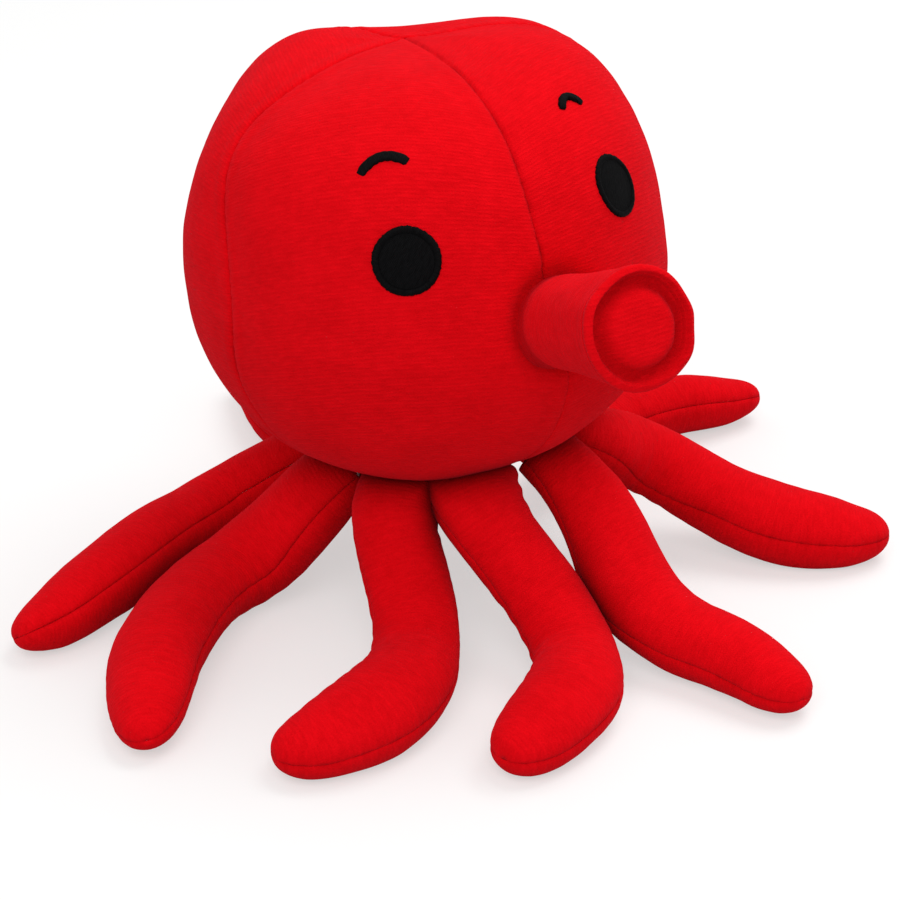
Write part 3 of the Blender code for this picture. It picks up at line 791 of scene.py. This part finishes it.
def brow_profile(share):
    return BROW_STITCH_HEIGHT * np.sqrt(1 - share ** 4) - PATCH_SINK * (share > PATCH_EDGE)


def brow_cloth(share, around, x, y):
    return np.stack((x + BROW_ROW_SLANT * y, y), -1)


# The face as it was laid out: heights above the head's middle, and turns to each side
EYE_HEIGHT = 0.0285
EYE_AZIMUTH = math.radians(29.5)
EYE_TURN = math.radians(-2)
BROW_HEIGHT = 0.0530
BROW_AZIMUTH = math.radians(32)
BROW_TURN = {"left": math.radians(-5.2), "right": math.radians(-4)}
FACE_TILT = math.radians(2.5)
# How much higher or lower than that each eye and brow was stitched
FACE_LIFT = {"left": (0.0008, -0.0004), "right": (0.0, 0.0)}


for side, way in (("left", 1), ("right", -1)):
    tilt = way * HEAD_WIDTH / 2 * math.sin(EYE_AZIMUTH) * math.sin(FACE_TILT)
    eye_lift, brow_lift = FACE_LIFT[side]
    make_patch(f"satin_eye_{side}", EYE_TURN + way * EYE_AZIMUTH, EYE_HEIGHT + tilt + eye_lift,
               eye_outline, eye_profile, eye_cloth, side)
    make_patch(f"satin_brow_{side}", BROW_TURN[side] + way * BROW_AZIMUTH,
               BROW_HEIGHT + tilt + brow_lift, brow_outline, brow_profile, brow_cloth, side)


# Mouth
#
# A stuffed tube of plush that stands out from the face and flares to a soft rim. A round end
# panel closes it, and a ring of stitching through both layers draws the end in to a dark groove,
# which leaves a puffed disc inside it and a rolled lip outside. The root is sewn to the gores.

MOUTH_LENGTH = 0.0420
MOUTH_SKEW = math.tan(math.radians(6))
MOUTH_RIM_DIAMETER = 0.0324
MOUTH_STITCH_DIAMETER = 0.0240
MOUTH_PUFF = 0.0018
MOUTH_GROOVE = 0.0032
MOUTH_GROOVE_REACH = 0.0022
MOUTH_FLARE = 1.5
MOUTH_LIP = 0.0017
MOUTH_LIP_SINK = 0.4
MOUTH_OVAL = 0.028
MOUTH_LINING_SHARE = 0.95
MOUTH_GROOVE_STITCH_AND_SHADE = 0.40
MOUTH_PUCKERS = 15
MOUTH_PUCKER_WANDER = 6.5
MOUTH_PUCKER_DEPTH = PUCKER_DEPTH / 3
# The rim's seam draws the tube in, and the root widens: how far in metres, and where and over
# what run as shares of the length
MOUTH_NECK = 0.0003
MOUTH_NECK_SHARE = 0.87
MOUTH_NECK_SPREAD = 0.12
MOUTH_ROOT_SPREAD = 0.0007
MOUTH_ROOT_REACH = 0.16
MOUTH_ROOT_DRAW = MOUTH_DRAW / 3
# The rim's unevenness, which is less at the root, and the size of its waves in radii
MOUTH_KINK = 0.00065
MOUTH_KINK_SIZE = 0.55
MOUTH_ROOT_KINK = 0.3
MOUTH_COLUMNS = 144
MOUTH_ROWS = 60
MOUTH_FILLING_ROWS = 24
MOUTH_SEAM_LEVEL = MOUTH_LENGTH + SEAM_GAP / 3
MOUTH_TURN = np.array(Vector(MOUTH_AXIS).to_track_quat("Z", "Y").to_matrix())


def mouth_radius(share):
    """Radius of the tube at a share of its length, wider towards the rim."""
    root = MOUTH_ROOT_DIAMETER / 2
    return root + (MOUTH_RIM_DIAMETER / 2 - root) * np.maximum(0.0, share) ** MOUTH_FLARE


def turned(radius, height, around):
    """Points round the mouth's axis, placed in the row frame; its end is cut a little askew."""
    skew = MOUTH_SKEW * radius * np.cos(around) * np.clip(height / MOUTH_LENGTH, 0.0, 1.0) ** 2
    points = np.stack((radius * np.cos(around), radius * np.sin(around), height + skew), -1)
    return from_head(points @ MOUTH_TURN.T + MOUTH_PLACE)


def kinks(around, height):
    """Unevenness of the cloth round the mouth, from -1 to 1."""
    ring = np.stack((np.cos(around), np.sin(around), height / MOUTH_LENGTH), -1)
    return lumps(ring, MOUTH_KINK_SIZE, 31.0)


around_mouth = np.linspace(0.0, 2 * math.pi, MOUTH_COLUMNS + 1)


def make_mouth_tube():
    height = np.linspace(-MOUTH_ROOT_DIAMETER / 3, MOUTH_LENGTH, MOUTH_ROWS + 1)
    height, around = np.meshgrid(height, around_mouth[:-1], indexing="ij")
    share = height / MOUTH_LENGTH
    towards_rim = np.clip(share, 0, 1) ** 2
    radius = mouth_radius(share) - MOUTH_NECK * bell(share - MOUTH_NECK_SHARE, MOUTH_NECK_SPREAD)
    radius += MOUTH_ROOT_SPREAD * np.exp(-np.maximum(share, 0.0) / MOUTH_ROOT_REACH)
    radius -= MOUTH_ROOT_DRAW * bell(height, MOUTH_DRAW_REACH)
    kink = MOUTH_ROOT_KINK + (1 - MOUTH_ROOT_KINK) * towards_rim
    radius += MOUTH_KINK * kinks(around, height) * kink
    radius *= 1 - MOUTH_OVAL * np.cos(2 * around) * towards_rim
    rise = np.hstack((height, height[:, :1]))
    run = np.broadcast_to(around_mouth * MOUTH_RIM_DIAMETER / 2, rise.shape)
    cloth = np.stack((run, rise), -1)
    surfaces = [turned(radius, height, around), turned(radius - FABRIC, height, around)]
    # Painted shade on the tube near its root
    crease = MOUTH_SHADE * bell(np.maximum(height, 0.0), MOUTH_SHADE_REACH)
    return make_piece("plush_mouth_tube", surfaces, cloth, crease, plush, wrap=True)


def mouth_end_profile():
    """Radii and heights from the middle of the disc, over the groove and lip, to the tube's end."""
    ring, rim = MOUTH_STITCH_DIAMETER / 2, MOUTH_RIM_DIAMETER / 2
    front = MOUTH_LENGTH + SEAM_GAP + FABRIC
    disc = np.linspace(0.0, ring, MOUTH_ROWS // 2, endpoint=False)
    puff = MOUTH_PUFF * np.sqrt(1 - (disc / ring) ** 2)
    # The lip rolls over its top and a little way under at the rim
    turn = np.linspace(math.pi, -math.pi / 12, MOUTH_ROWS // 2)
    roll = (ring + rim) / 2 + (rim - ring) / 2 * np.cos(turn)
    radius = np.concatenate((disc, roll))
    height = front + np.concatenate((puff, MOUTH_LIP * (np.sin(turn) - MOUTH_LIP_SINK)))
    # The groove's draw ends at the top of the lip, three quarters along the profile
    draw = MOUTH_GROOVE * bell(radius - ring, MOUTH_GROOVE_REACH)
    height -= draw * (np.arange(len(radius)) < MOUTH_ROWS * 3 / 4)
    return radius, np.maximum(height, MOUTH_SEAM_LEVEL)


def make_mouth_end():
    ring, rim = MOUTH_STITCH_DIAMETER / 2, MOUTH_RIM_DIAMETER / 2
    radius, height = mouth_end_profile()
    radius, around = np.meshgrid(radius, around_mouth, indexing="ij")
    height = np.broadcast_to(height[:, None], radius.shape).copy()
    wave = MOUTH_KINK * kinks(around, height)
    height += wave * (radius / rim) ** 6
    # The stitched puckers of the groove
    wander = MOUTH_PUCKER_WANDER * kinks(around, height)
    pucker = np.sin(MOUTH_PUCKERS * around + wander) * bell(radius - ring, PUCKER_REACH)
    height += MOUTH_PUCKER_DEPTH * pucker * (radius < (ring + rim) / 2)
    outer_radius = (radius + wave * (radius / rim) ** 2) * (1 - MOUTH_OVAL * np.cos(2 * around))
    height[-1] = MOUTH_SEAM_LEVEL
    back = np.clip(height - FABRIC, MOUTH_SEAM_LEVEL, MOUTH_LENGTH + SEAM_GAP + FABRIC)
    cloth = np.stack((radius * np.cos(around), radius * np.sin(around)), -1)
    outer = turned(outer_radius, height, around)[:, :-1]
    outer[0] = outer[0, 0]
    inner = turned(outer_radius * MOUTH_LINING_SHARE, back, around)[:, :-1]
    inner[0] = outer[0] - FABRIC * (MOUTH_AXIS @ LEAN.T)
    # The groove is darkened by its ring of stitching and by painted shade across it
    seam = (MOUTH_GROOVE_STITCH_AND_SHADE * bell(radius - ring, MOUTH_GROOVE_REACH))[:, :-1]
    return make_piece("plush_mouth_end", [outer, inner], cloth, seam, plush, wrap=True)


def make_mouth_filling():
    share = np.linspace(0.0, 1.0, MOUTH_FILLING_ROWS)
    inside = -MOUTH_ROOT_DIAMETER / 4
    height = inside + (MOUTH_LENGTH - FABRIC - inside) * share
    # Round at both ends, and clear of the cloth
    blunt = np.sqrt(1 - (2 * share - 1) ** 8)
    radius = (mouth_radius(height / MOUTH_LENGTH) - 2 * FABRIC) * blunt
    height, around = np.meshgrid(height, around_mouth[:-1:4], indexing="ij")
    return make_filling("fibre_mouth", turned(radius[:, None], height, around))


for piece, node, slot_name in ((make_mouth_tube(), "mouth_tube", "red_plush"),
                               (make_mouth_end(), "mouth_end", "red_plush"),
                               (make_mouth_filling(), "mouth_filling", "white_filling")):
    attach(piece, "head")
    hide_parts(node)


# Legs
#
# Eight stuffed legs, each of two long plush panels, a top and a sole, that are sewn together along
# both sides and round the blunt tip. The open end is caught in the head's ring seam. Each leg
# comes down to lie on the table, where its sole is pressed flat, and creases inside its bends.

LEG_LENGTH = 0.132
LEG_WIDTH = 0.026
LEG_THICKNESS = 0.0215
CAD_ROOT_THICKNESS = 0.004
ROOT_WIDTH = 0.0212
ROOT_THICKNESS = 0.0175
ROOT_SWELL = 0.045
FOOT_FLAT = 0.0005
TAPER_SHARPNESS = 7
TIP_BLUNTNESS = 2.5
HEADING_SHARES = (0.0, 0.2, 0.45, 0.72, 1.0)
# Headings in degrees from the face towards the left, roll in degrees, and shares of the length.
# Stuffing and neighbours change each leg's girth, and push it to its own left by some millimetres.
# Headings, girths and sway each have a value for every heading share
LEG_LAY = {
    "leg_left_front": {
        "headings": (27, 19, 13, 20, 4),
        "roll": 0, "length_share": 0.863, "droop_share": 0.69,
        "girths": (0.95, 0.95, 1.03, 0.98, 1.01), "sway": (4.5, 3.9, -2.2, 0.3, -0.3)},
    "leg_left_second": {
        "headings": (70, 100, 46, 48, 78),
        "roll": -9, "length_share": 0.91, "droop_share": 0.80,
        "girths": (1.00, 0.98, 0.97, 1.16, 1.13), "sway": (0.0, 0.0, 0.2, -0.1, -0.4)},
    "leg_left_third": {
        "headings": (113, 124, 118, 90, 78),
        "roll": -23, "length_share": 1.03, "droop_share": 0.50,
        "girths": (1.00, 1.00, 0.97, 0.97, 0.96), "sway": (0.0, 0.0, 0.0, 0.0, 0.0)},
    "leg_left_rear": {
        "headings": (157, 195, 200, 170, 180),
        "roll": 0, "length_share": 1.00, "droop_share": 0.50,
        "girths": (1.00, 1.00, 1.00, 1.03, 1.00), "sway": (0.0, 0.0, 0.0, 0.0, 0.0)},
    "leg_right_rear": {
        "headings": (-155, -127, -74, -61, -72),
        "roll": 33, "length_share": 1.13, "droop_share": 0.48,
        "girths": (1.00, 1.00, 1.04, 1.10, 1.04), "sway": (2.0, 1.5, 0.1, 0.8, 0.4)},
    "leg_right_third": {
        "headings": (-111, -105, -55, -36, -25),
        "roll": 14, "length_share": 1.093, "droop_share": 0.39,
        "girths": (1.14, 1.18, 1.06, 1.10, 1.05), "sway": (1.4, 2.8, 1.1, -0.7, -0.1)},
    "leg_right_second": {
        "headings": (-60, -9, -34, -67, -100),
        "roll": 0, "length_share": 0.902, "droop_share": 0.53,
        "girths": (1.20, 1.00, 0.98, 1.17, 1.04), "sway": (1.3, 1.1, 0.8, 1.1, -0.2)},
    "leg_right_front": {
        "headings": (-20, 29, -5, -52, -70),
        "roll": 0, "length_share": 0.89, "droop_share": 0.60,
        "girths": (1.30, 1.00, 0.91, 1.10, 1.12), "sway": (0.8, 1.2, 0.5, 0.7, 0.1)},
}
# How far the upper part of a leg is twisted by the ones beside it, in degrees
LEG_TWIST = {"leg_left_second": 34, "leg_left_front": 20, "leg_right_front": 14}
TWIST_END = 0.6
ROLL_IN_SHARE = 0.35
SOLE_SHARE = 0.90
PATH_STEPS = 400
PATH_EASE = 12


def smooth_values(shares, values, share):
    """Values of a smooth curve through the given ones, with slopes taken from the neighbours."""
    shares, values = np.array(shares), np.array(values, float)
    start = np.clip(np.searchsorted(shares, share, side="right") - 1, 0, len(shares) - 2)
    before = np.maximum(0, np.arange(len(shares)) - 1)
    after = np.minimum(len(shares) - 1, np.arange(len(shares)) + 1)
    slope = (values[after] - values[before]) / (shares[after] - shares[before])
    span = shares[start + 1] - shares[start]
    t = (share - shares[start]) / span
    rise = values[start + 1] - values[start]
    return (values[start] + rise * eased(t) + span * t * (1 - t) ** 2 * slope[start]
            - span * t * t * (1 - t) * slope[start + 1])


def leg_length(name):
    return LEG_LENGTH * LEG_LAY[name]["length_share"]


def leg_heading(name, share):
    """Level direction of a leg at a share of its length, turned from the face to the left."""
    return np.radians(smooth_values(HEADING_SHARES, LEG_LAY[name]["headings"], share))


def leg_taper(share):
    """Share of its full girth that a leg keeps, up to the blunt tip."""
    return (1 - share ** TAPER_SHARPNESS) ** (1 / TIP_BLUNTNESS)


def leg_roll(name, share):
    """Roll of a leg's section: along the base seam at the root, and as the leg lies further out."""
    azimuth = leg_heading(name, 0.0)
    at_root = math.asin((LEAN @ (math.cos(azimuth), math.sin(azimuth), 0.0))[2])
    ease = np.minimum(1.0, share / ROLL_IN_SHARE)
    return at_root + (math.radians(LEG_LAY[name]["roll"]) - at_root) * ease


def lying_height(name, share):
    """Height of the middle of a leg that lies on the table, sunk by the flat under its sole."""
    roll = leg_roll(name, np.maximum(share, ROLL_IN_SHARE))
    taper = leg_taper(np.minimum(share, SOLE_SHARE))
    thickness = LEG_THICKNESS / 2 * taper + SEAM_GAP / 2
    return np.hypot(LEG_WIDTH / 2 * taper * np.sin(roll), thickness * np.cos(roll)) - FOOT_FLAT


def seam_place(name):
    """Where the middle of a leg is caught in the ring seam, in the row frame."""
    return from_head(head_surface(leg_heading(name, 0.0), np.array(RING_POLAR)))


def leg_path(name):
    """Points of a leg's middle line: out from the pinched root and down to the table."""
    seam = seam_place(name)
    azimuth = leg_heading(name, 0.0)
    droop = LEG_LAY[name]["droop_share"]
    fall = math.asin((seam[2] - LEG_THICKNESS / 2) / (droop * leg_length(name)))
    up = outwards(azimuth, fall)
    normal = LEAN @ head_normal(azimuth, np.array(RING_POLAR))
    root = seam + SEAM_GAP * normal - (CAD_ROOT_THICKNESS + SEAM_GAP) / 2 * up
    share = np.linspace(0.0, 1.0, PATH_STEPS + 1)
    fallen = np.minimum(1.0, share / droop)
    drop = root[2] - lying_height(name, np.array(0.0))
    height = lying_height(name, share) + drop * (1 - fallen) ** 2 * (1 + fallen)
    height[0] = root[2]
    # The stuffing rounds off the bend where the leg meets the table
    for _ in range(2):
        before = 2 * height[0] - height[PATH_EASE:0:-1]
        after = 2 * height[-1] - height[-2:-PATH_EASE - 2:-1]
        window = np.full(2 * PATH_EASE + 1, 1 / (2 * PATH_EASE + 1))
        height = np.convolve(np.concatenate((before, height, after)), window, "valid")
    step = leg_length(name) / PATH_STEPS
    along = np.sqrt(np.maximum(0.0, step ** 2 - np.diff(height) ** 2))
    heading = leg_heading(name, (share[1:] + share[:-1]) / 2)
    x = root[0] + np.concatenate(([0.0], np.cumsum(along * np.sin(heading))))
    y = root[1] - np.concatenate(([0.0], np.cumsum(along * np.cos(heading))))
    return share, np.stack((x, y, height), -1)


def leg_rings(name, rows):
    """Shares of the length at even steps along a leg's outline, and each ring's place and axes."""
    fine, path = leg_path(name)
    outline = np.stack((fine * leg_length(name), LEG_WIDTH / 2 * leg_taper(fine)), -1)
    run = arc_lengths(outline, 0)
    share = np.interp(np.linspace(0.0, run[-1], rows + 1), run, fine)
    place = np.stack([np.interp(share, fine, path[:, axis]) for axis in range(3)], -1)
    slopes = np.gradient(path, axis=0)
    tangent = np.stack([np.interp(share, fine, slopes[:, axis]) for axis in range(3)], -1)
    tangent /= np.linalg.norm(tangent, axis=-1, keepdims=True)
    heading = leg_heading(name, share)
    level = np.stack((np.cos(heading), np.sin(heading), np.zeros_like(heading)), -1)
    level -= (level * tangent).sum(-1, keepdims=True) * tangent
    level /= np.linalg.norm(level, axis=-1, keepdims=True)
    up = np.cross(tangent, level)
    upper = np.sin(math.pi * np.minimum(1.0, share / TWIST_END)) ** 2
    roll = (leg_roll(name, share) + math.radians(LEG_TWIST.get(name, 0)) * upper)[:, None]
    sway = smooth_values(HEADING_SHARES, LEG_LAY[name]["sway"], share) / 1000
    place = place + sway[:, None] * level
    side = np.cos(roll) * level + np.sin(roll) * up
    return share, place, side, np.cross(tangent, side)


def leg_half_sizes(name, share):
    """Half width and half thickness, soon full behind the root and rounded off at the tip."""
    swell = np.sin(math.pi / 2 * np.minimum(1.0, share * leg_length(name) / ROOT_SWELL))
    width = ROOT_WIDTH + (LEG_WIDTH - ROOT_WIDTH) * swell
    thickness = ROOT_THICKNESS + (LEG_THICKNESS - ROOT_THICKNESS) * swell
    girth = leg_taper(share) * smooth_values(HEADING_SHARES, LEG_LAY[name]["girths"], share)
    return width / 2 * girth, thickness / 2 * girth


LEG_ROWS = 140
LEG_COLUMNS = 26
LEG_EDGE_FINENESS = 0.5
TABLE_SOFTNESS = 0.0003
# The stuffing's lumps are shorter than in the head, and the seams are drawn less tight
LEG_LUMP_SIZE = 0.0192
LEG_LUMP_HEIGHT = 0.00054
LEG_RIPPLE_HEIGHT = 0.00018
LEG_SEAM_SHARE = 0.5
CREASE_DEPTH = 0.0009
CREASE_PITCH = 0.008


def make_leg_panel(name, panel, way, seed):
    share, place, side, up = leg_rings(name, LEG_ROWS)
    width, thickness = leg_half_sizes(name, share)
    angle = np.linspace(0.0, math.pi, LEG_COLUMNS + 1)
    # Columns lie closer together near the two side seams
    angle = angle - LEG_EDGE_FINENESS * np.sin(2 * angle) / 2
    along = (share * leg_length(name))[:, None]

    def section(inset, rise):
        across = np.maximum(width[:, None] - inset, 0.0) * np.cos(angle)
        tall = np.maximum(thickness[:, None] - inset, 0.0) * np.sin(angle)
        tall = way * (SEAM_STAND_OFF + tall)
        arm = across[..., None] * side[:, None] + tall[..., None] * up[:, None]
        length = np.maximum(np.linalg.norm(arm, axis=-1, keepdims=True), SEAM_GAP / 10)
        points = place[:, None] + arm * (1 + rise[..., None] / length)
        # The table presses the sole flat
        points[..., 2] = (points[..., 2] + np.hypot(points[..., 2], TABLE_SOFTNESS)) / 2
        return points

    bare = section(0.0, np.zeros((LEG_ROWS + 1, LEG_COLUMNS + 1)))
    arc = arc_lengths(bare, 1)
    from_seam = np.minimum(arc, arc[:, -1:] - arc)
    # The cloth creases on the inner side of each bend
    distance = share * leg_length(name) + TRIFLE * np.arange(LEG_ROWS + 1)
    turn = np.gradient(leg_heading(name, share), distance)
    bend = np.clip(turn[:, None] * np.cos(angle) * LEG_WIDTH / 2, 0.0, 1.0)
    crease = bend * (1 + np.sin(2 * math.pi * along / CREASE_PITCH + 3 * seed)) / 2
    slack = np.minimum(1.0, width / (LEG_WIDTH / 4))[:, None]
    rise = LEG_SEAM_SHARE * sewn_edge(from_seam, along, bare) - CREASE_DEPTH * crease
    rise += LEG_LUMP_HEIGHT * lumps(bare, LEG_LUMP_SIZE, seed)
    rise += LEG_RIPPLE_HEIGHT * lumps(bare, RIPPLE_SIZE, seed + 5.0)
    rise *= slack
    outer = section(0.0, rise)
    inner = section(FABRIC, np.minimum(rise, 0.0) / 2)
    outer[-1] = outer[-1].mean(axis=0)
    inner[-1] = inner[-1].mean(axis=0)
    cloth = np.stack((arc - arc[:, -1:] / 2 + seed, along + 0 * arc + seed), -1)
    stitches = LEG_SEAM_SHARE * stitch_line(from_seam, bare) * slack
    return make_piece(panel, [outer, inner], cloth, stitches, plush)


LEG_FILLING_ROWS = 48
LEG_FILLING_COLUMNS = 24


def make_leg_filling(name):
    share, place, side, up = leg_rings(name, LEG_FILLING_ROWS)
    width, thickness = (np.maximum(size - 2 * FABRIC, 0.0) for size in leg_half_sizes(name, share))
    angle = np.linspace(0.0, 2 * math.pi, LEG_FILLING_COLUMNS, endpoint=False)
    rings = (place[:, None] + (width[:, None] * np.cos(angle))[..., None] * side[:, None]
             + (thickness[:, None] * np.sin(angle))[..., None] * up[:, None])
    rings[0] = rings[0].mean(axis=0)
    return make_filling(f"fibre_{name}", rings)


# Painted shade where head and legs press on each other: how dark it is, and how far from the
# contact it reaches
FOLD_SHADE = 0.88
HEAD_FOLD_REACH = 0.0074
LEG_FOLD_REACH = 0.0043
FOLD_END = 0.020


def cloth_tree(pieces):
    """Tree of the faces of these pieces, which finds the one nearest to a point."""
    points, faces = [], []
    for piece in pieces:
        start = len(points)
        points.extend(vertex.co for vertex in piece.data.vertices)
        faces.extend([start + corner for corner in face.vertices] for face in piece.data.polygons)
    return BVHTree.FromPolygons(points, faces)


def paint_fold_shade():
    """Paint shade into the pile where the head and the legs press on each other, darker nearer the
    contact.
    """
    trees = {body: cloth_tree(pieces) for body, pieces in cloth_of.items()}
    for body, pieces in cloth_of.items():
        others = [tree for name, tree in trees.items() if name != body]
        reach = HEAD_FOLD_REACH if body == "head" else LEG_FOLD_REACH
        for piece in pieces:
            for vertex, spot in zip(piece.data.vertices, piece.data.attributes["seam"].data):
                if vertex.co.z > HEAD_LEVEL:
                    continue
                gap = min(tree.find_nearest(vertex.co, FOLD_END)[3] or FOLD_END for tree in others)
                spot.value = max(spot.value, FOLD_SHADE * math.exp(-gap / reach))


for count, leg in enumerate(LEG_LAY):
    cloth_of[leg] = [make_leg_panel(leg, f"plush_{leg}_top", 1, count + 0.37),
                     make_leg_panel(leg, f"plush_{leg}_sole", -1, count + 0.37)]
paint_fold_shade()

for leg in LEG_LAY:
    fine_shares, middle_line = leg_path(leg)
    for piece, node, slot_name in ((cloth_of[leg][0], f"{leg}_top", "red_plush"),
                                   (cloth_of[leg][1], f"{leg}_sole", "red_plush"),
                                   (make_leg_filling(leg), f"{leg}_filling", "white_filling")):
        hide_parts(node)
        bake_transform(piece)


# Floor, lamps and camera
#
# A plain pale floor under soft studio light: an even white surrounding, a broad lamp above and a
# little behind the toy to its left, and a weaker one in front. The camera stands about 900 mm
# from the head, 30 degrees to the octopus's right of its face and 26 degrees above level.

FLOOR_SIZE = 12.0
PAPER = (0.982, 0.980, 0.974, 1.0)
FLOOR_SHADOW_SHARE = 0.45
FLOOR_BOUNCE = (0.56, 0.56, 0.56, 1.0)
SURROUNDING_STRENGTH = 0.57
KEY_PLACE = (0.60, 0.05, 1.25)
KEY_SIZE = 0.9
KEY_POWER = 8.9
FILL_PLACE = (-0.72, -0.88, 1.18)
FILL_SIZE = 1.0
FILL_POWER = 9.1
CAMERA_PLACE = (-0.41609, -0.72499, 0.46112)
CAMERA_AZIMUTH = math.radians(-30)
CAMERA_ELEVATION = math.radians(26)
CAMERA_LENS = 124.2
CAMERA_SENSOR = 36.0
CAMERA_SHIFT = -50 / 900
CAMERA_CLIP = 0.05


def paper_shader(tree, surface):
    """White paper as the camera sees it, and a plain white surface to all other light."""
    path = tree.nodes.new("ShaderNodeLightPath")
    glow = tree.nodes.new("ShaderNodeEmission")
    glow.inputs["Color"].default_value = PAPER
    glow.inputs["Strength"].default_value = 1 - FLOOR_SHADOW_SHARE
    both = tree.nodes.new("ShaderNodeAddShader")
    blend = tree.nodes.new("ShaderNodeMixShader")
    plain = tree.nodes.new("ShaderNodeBsdfDiffuse")
    plain.inputs["Color"].default_value = FLOOR_BOUNCE
    tree.links.new(surface, both.inputs[0])
    tree.links.new(glow.outputs[0], both.inputs[1])
    tree.links.new(path.outputs["Is Camera Ray"], blend.inputs[0])
    tree.links.new(plain.outputs[0], blend.inputs[1])
    tree.links.new(both.outputs[0], blend.inputs[2])
    return blend.outputs[0]


def make_floor():
    half = FLOOR_SIZE / 2
    corners = [(-half, -half, 0), (half, -half, 0), (half, half, 0), (-half, half, 0)]
    mesh = bpy.data.meshes.new("floor")
    mesh.from_pydata(corners, [], [(0, 1, 2, 3)])
    floor = bpy.data.objects.new("floor", mesh)
    bpy.context.scene.collection.objects.link(floor)
    material = bpy.data.materials.new("paper")
    material.use_nodes = True
    tree = material.node_tree
    tree.nodes.remove(tree.nodes["Principled BSDF"])
    matt = tree.nodes.new("ShaderNodeBsdfDiffuse")
    matt.inputs["Color"].default_value = (*3 * (FLOOR_SHADOW_SHARE,), 1.0)
    output = tree.nodes["Material Output"]
    tree.links.new(paper_shader(tree, matt.outputs[0]), output.inputs["Surface"])
    mesh.materials.append(material)


def make_surrounding():
    world = bpy.data.worlds.new("surrounding")
    bpy.context.scene.world = world
    world.use_nodes = True
    tree = world.node_tree
    tree.nodes.clear()
    path = tree.nodes.new("ShaderNodeLightPath")
    light = tree.nodes.new("ShaderNodeBackground")
    light.inputs["Strength"].default_value = SURROUNDING_STRENGTH
    light.inputs["Color"].default_value = (1.0, 1.0, 1.0, 1.0)
    seen = tree.nodes.new("ShaderNodeBackground")
    seen.inputs["Color"].default_value = PAPER
    mix = tree.nodes.new("ShaderNodeMixShader")
    output = tree.nodes.new("ShaderNodeOutputWorld")
    tree.links.new(path.outputs["Is Camera Ray"], mix.inputs[0])
    tree.links.new(light.outputs[0], mix.inputs[1])
    tree.links.new(seen.outputs[0], mix.inputs[2])
    tree.links.new(mix.outputs[0], output.inputs["Surface"])


def make_lamp(name, place, size, power):
    lamp = bpy.data.lights.new(name, "AREA")
    lamp.shape = "SQUARE"
    lamp.size = size
    lamp.energy = power
    holder = bpy.data.objects.new(name, lamp)
    holder.location = place
    aim = Vector((0.0, 0.0, HEAD_LEVEL)) - Vector(place)
    holder.rotation_mode = "QUATERNION"
    holder.rotation_quaternion = aim.to_track_quat("-Z", "Y")
    bpy.context.scene.collection.objects.link(holder)


def make_camera():
    camera = bpy.data.cameras.new("camera")
    camera.lens = CAMERA_LENS
    camera.sensor_width = CAMERA_SENSOR
    camera.shift_y = CAMERA_SHIFT
    camera.clip_start = CAMERA_CLIP
    holder = bpy.data.objects.new("camera", camera)
    holder.location = CAMERA_PLACE
    back = Vector(outwards(CAMERA_AZIMUTH, math.pi / 2 - CAMERA_ELEVATION))
    holder.rotation_mode = "QUATERNION"
    holder.rotation_quaternion = (-back).to_track_quat("-Z", "Y")
    bpy.context.scene.collection.objects.link(holder)
    bpy.context.scene.camera = holder


make_floor()
make_surrounding()
make_lamp("key_lamp", KEY_PLACE, KEY_SIZE, KEY_POWER)
make_lamp("fill_lamp", FILL_PLACE, FILL_SIZE, FILL_POWER)
make_camera()
bpy.context.scene.view_settings.view_transform = "Standard"
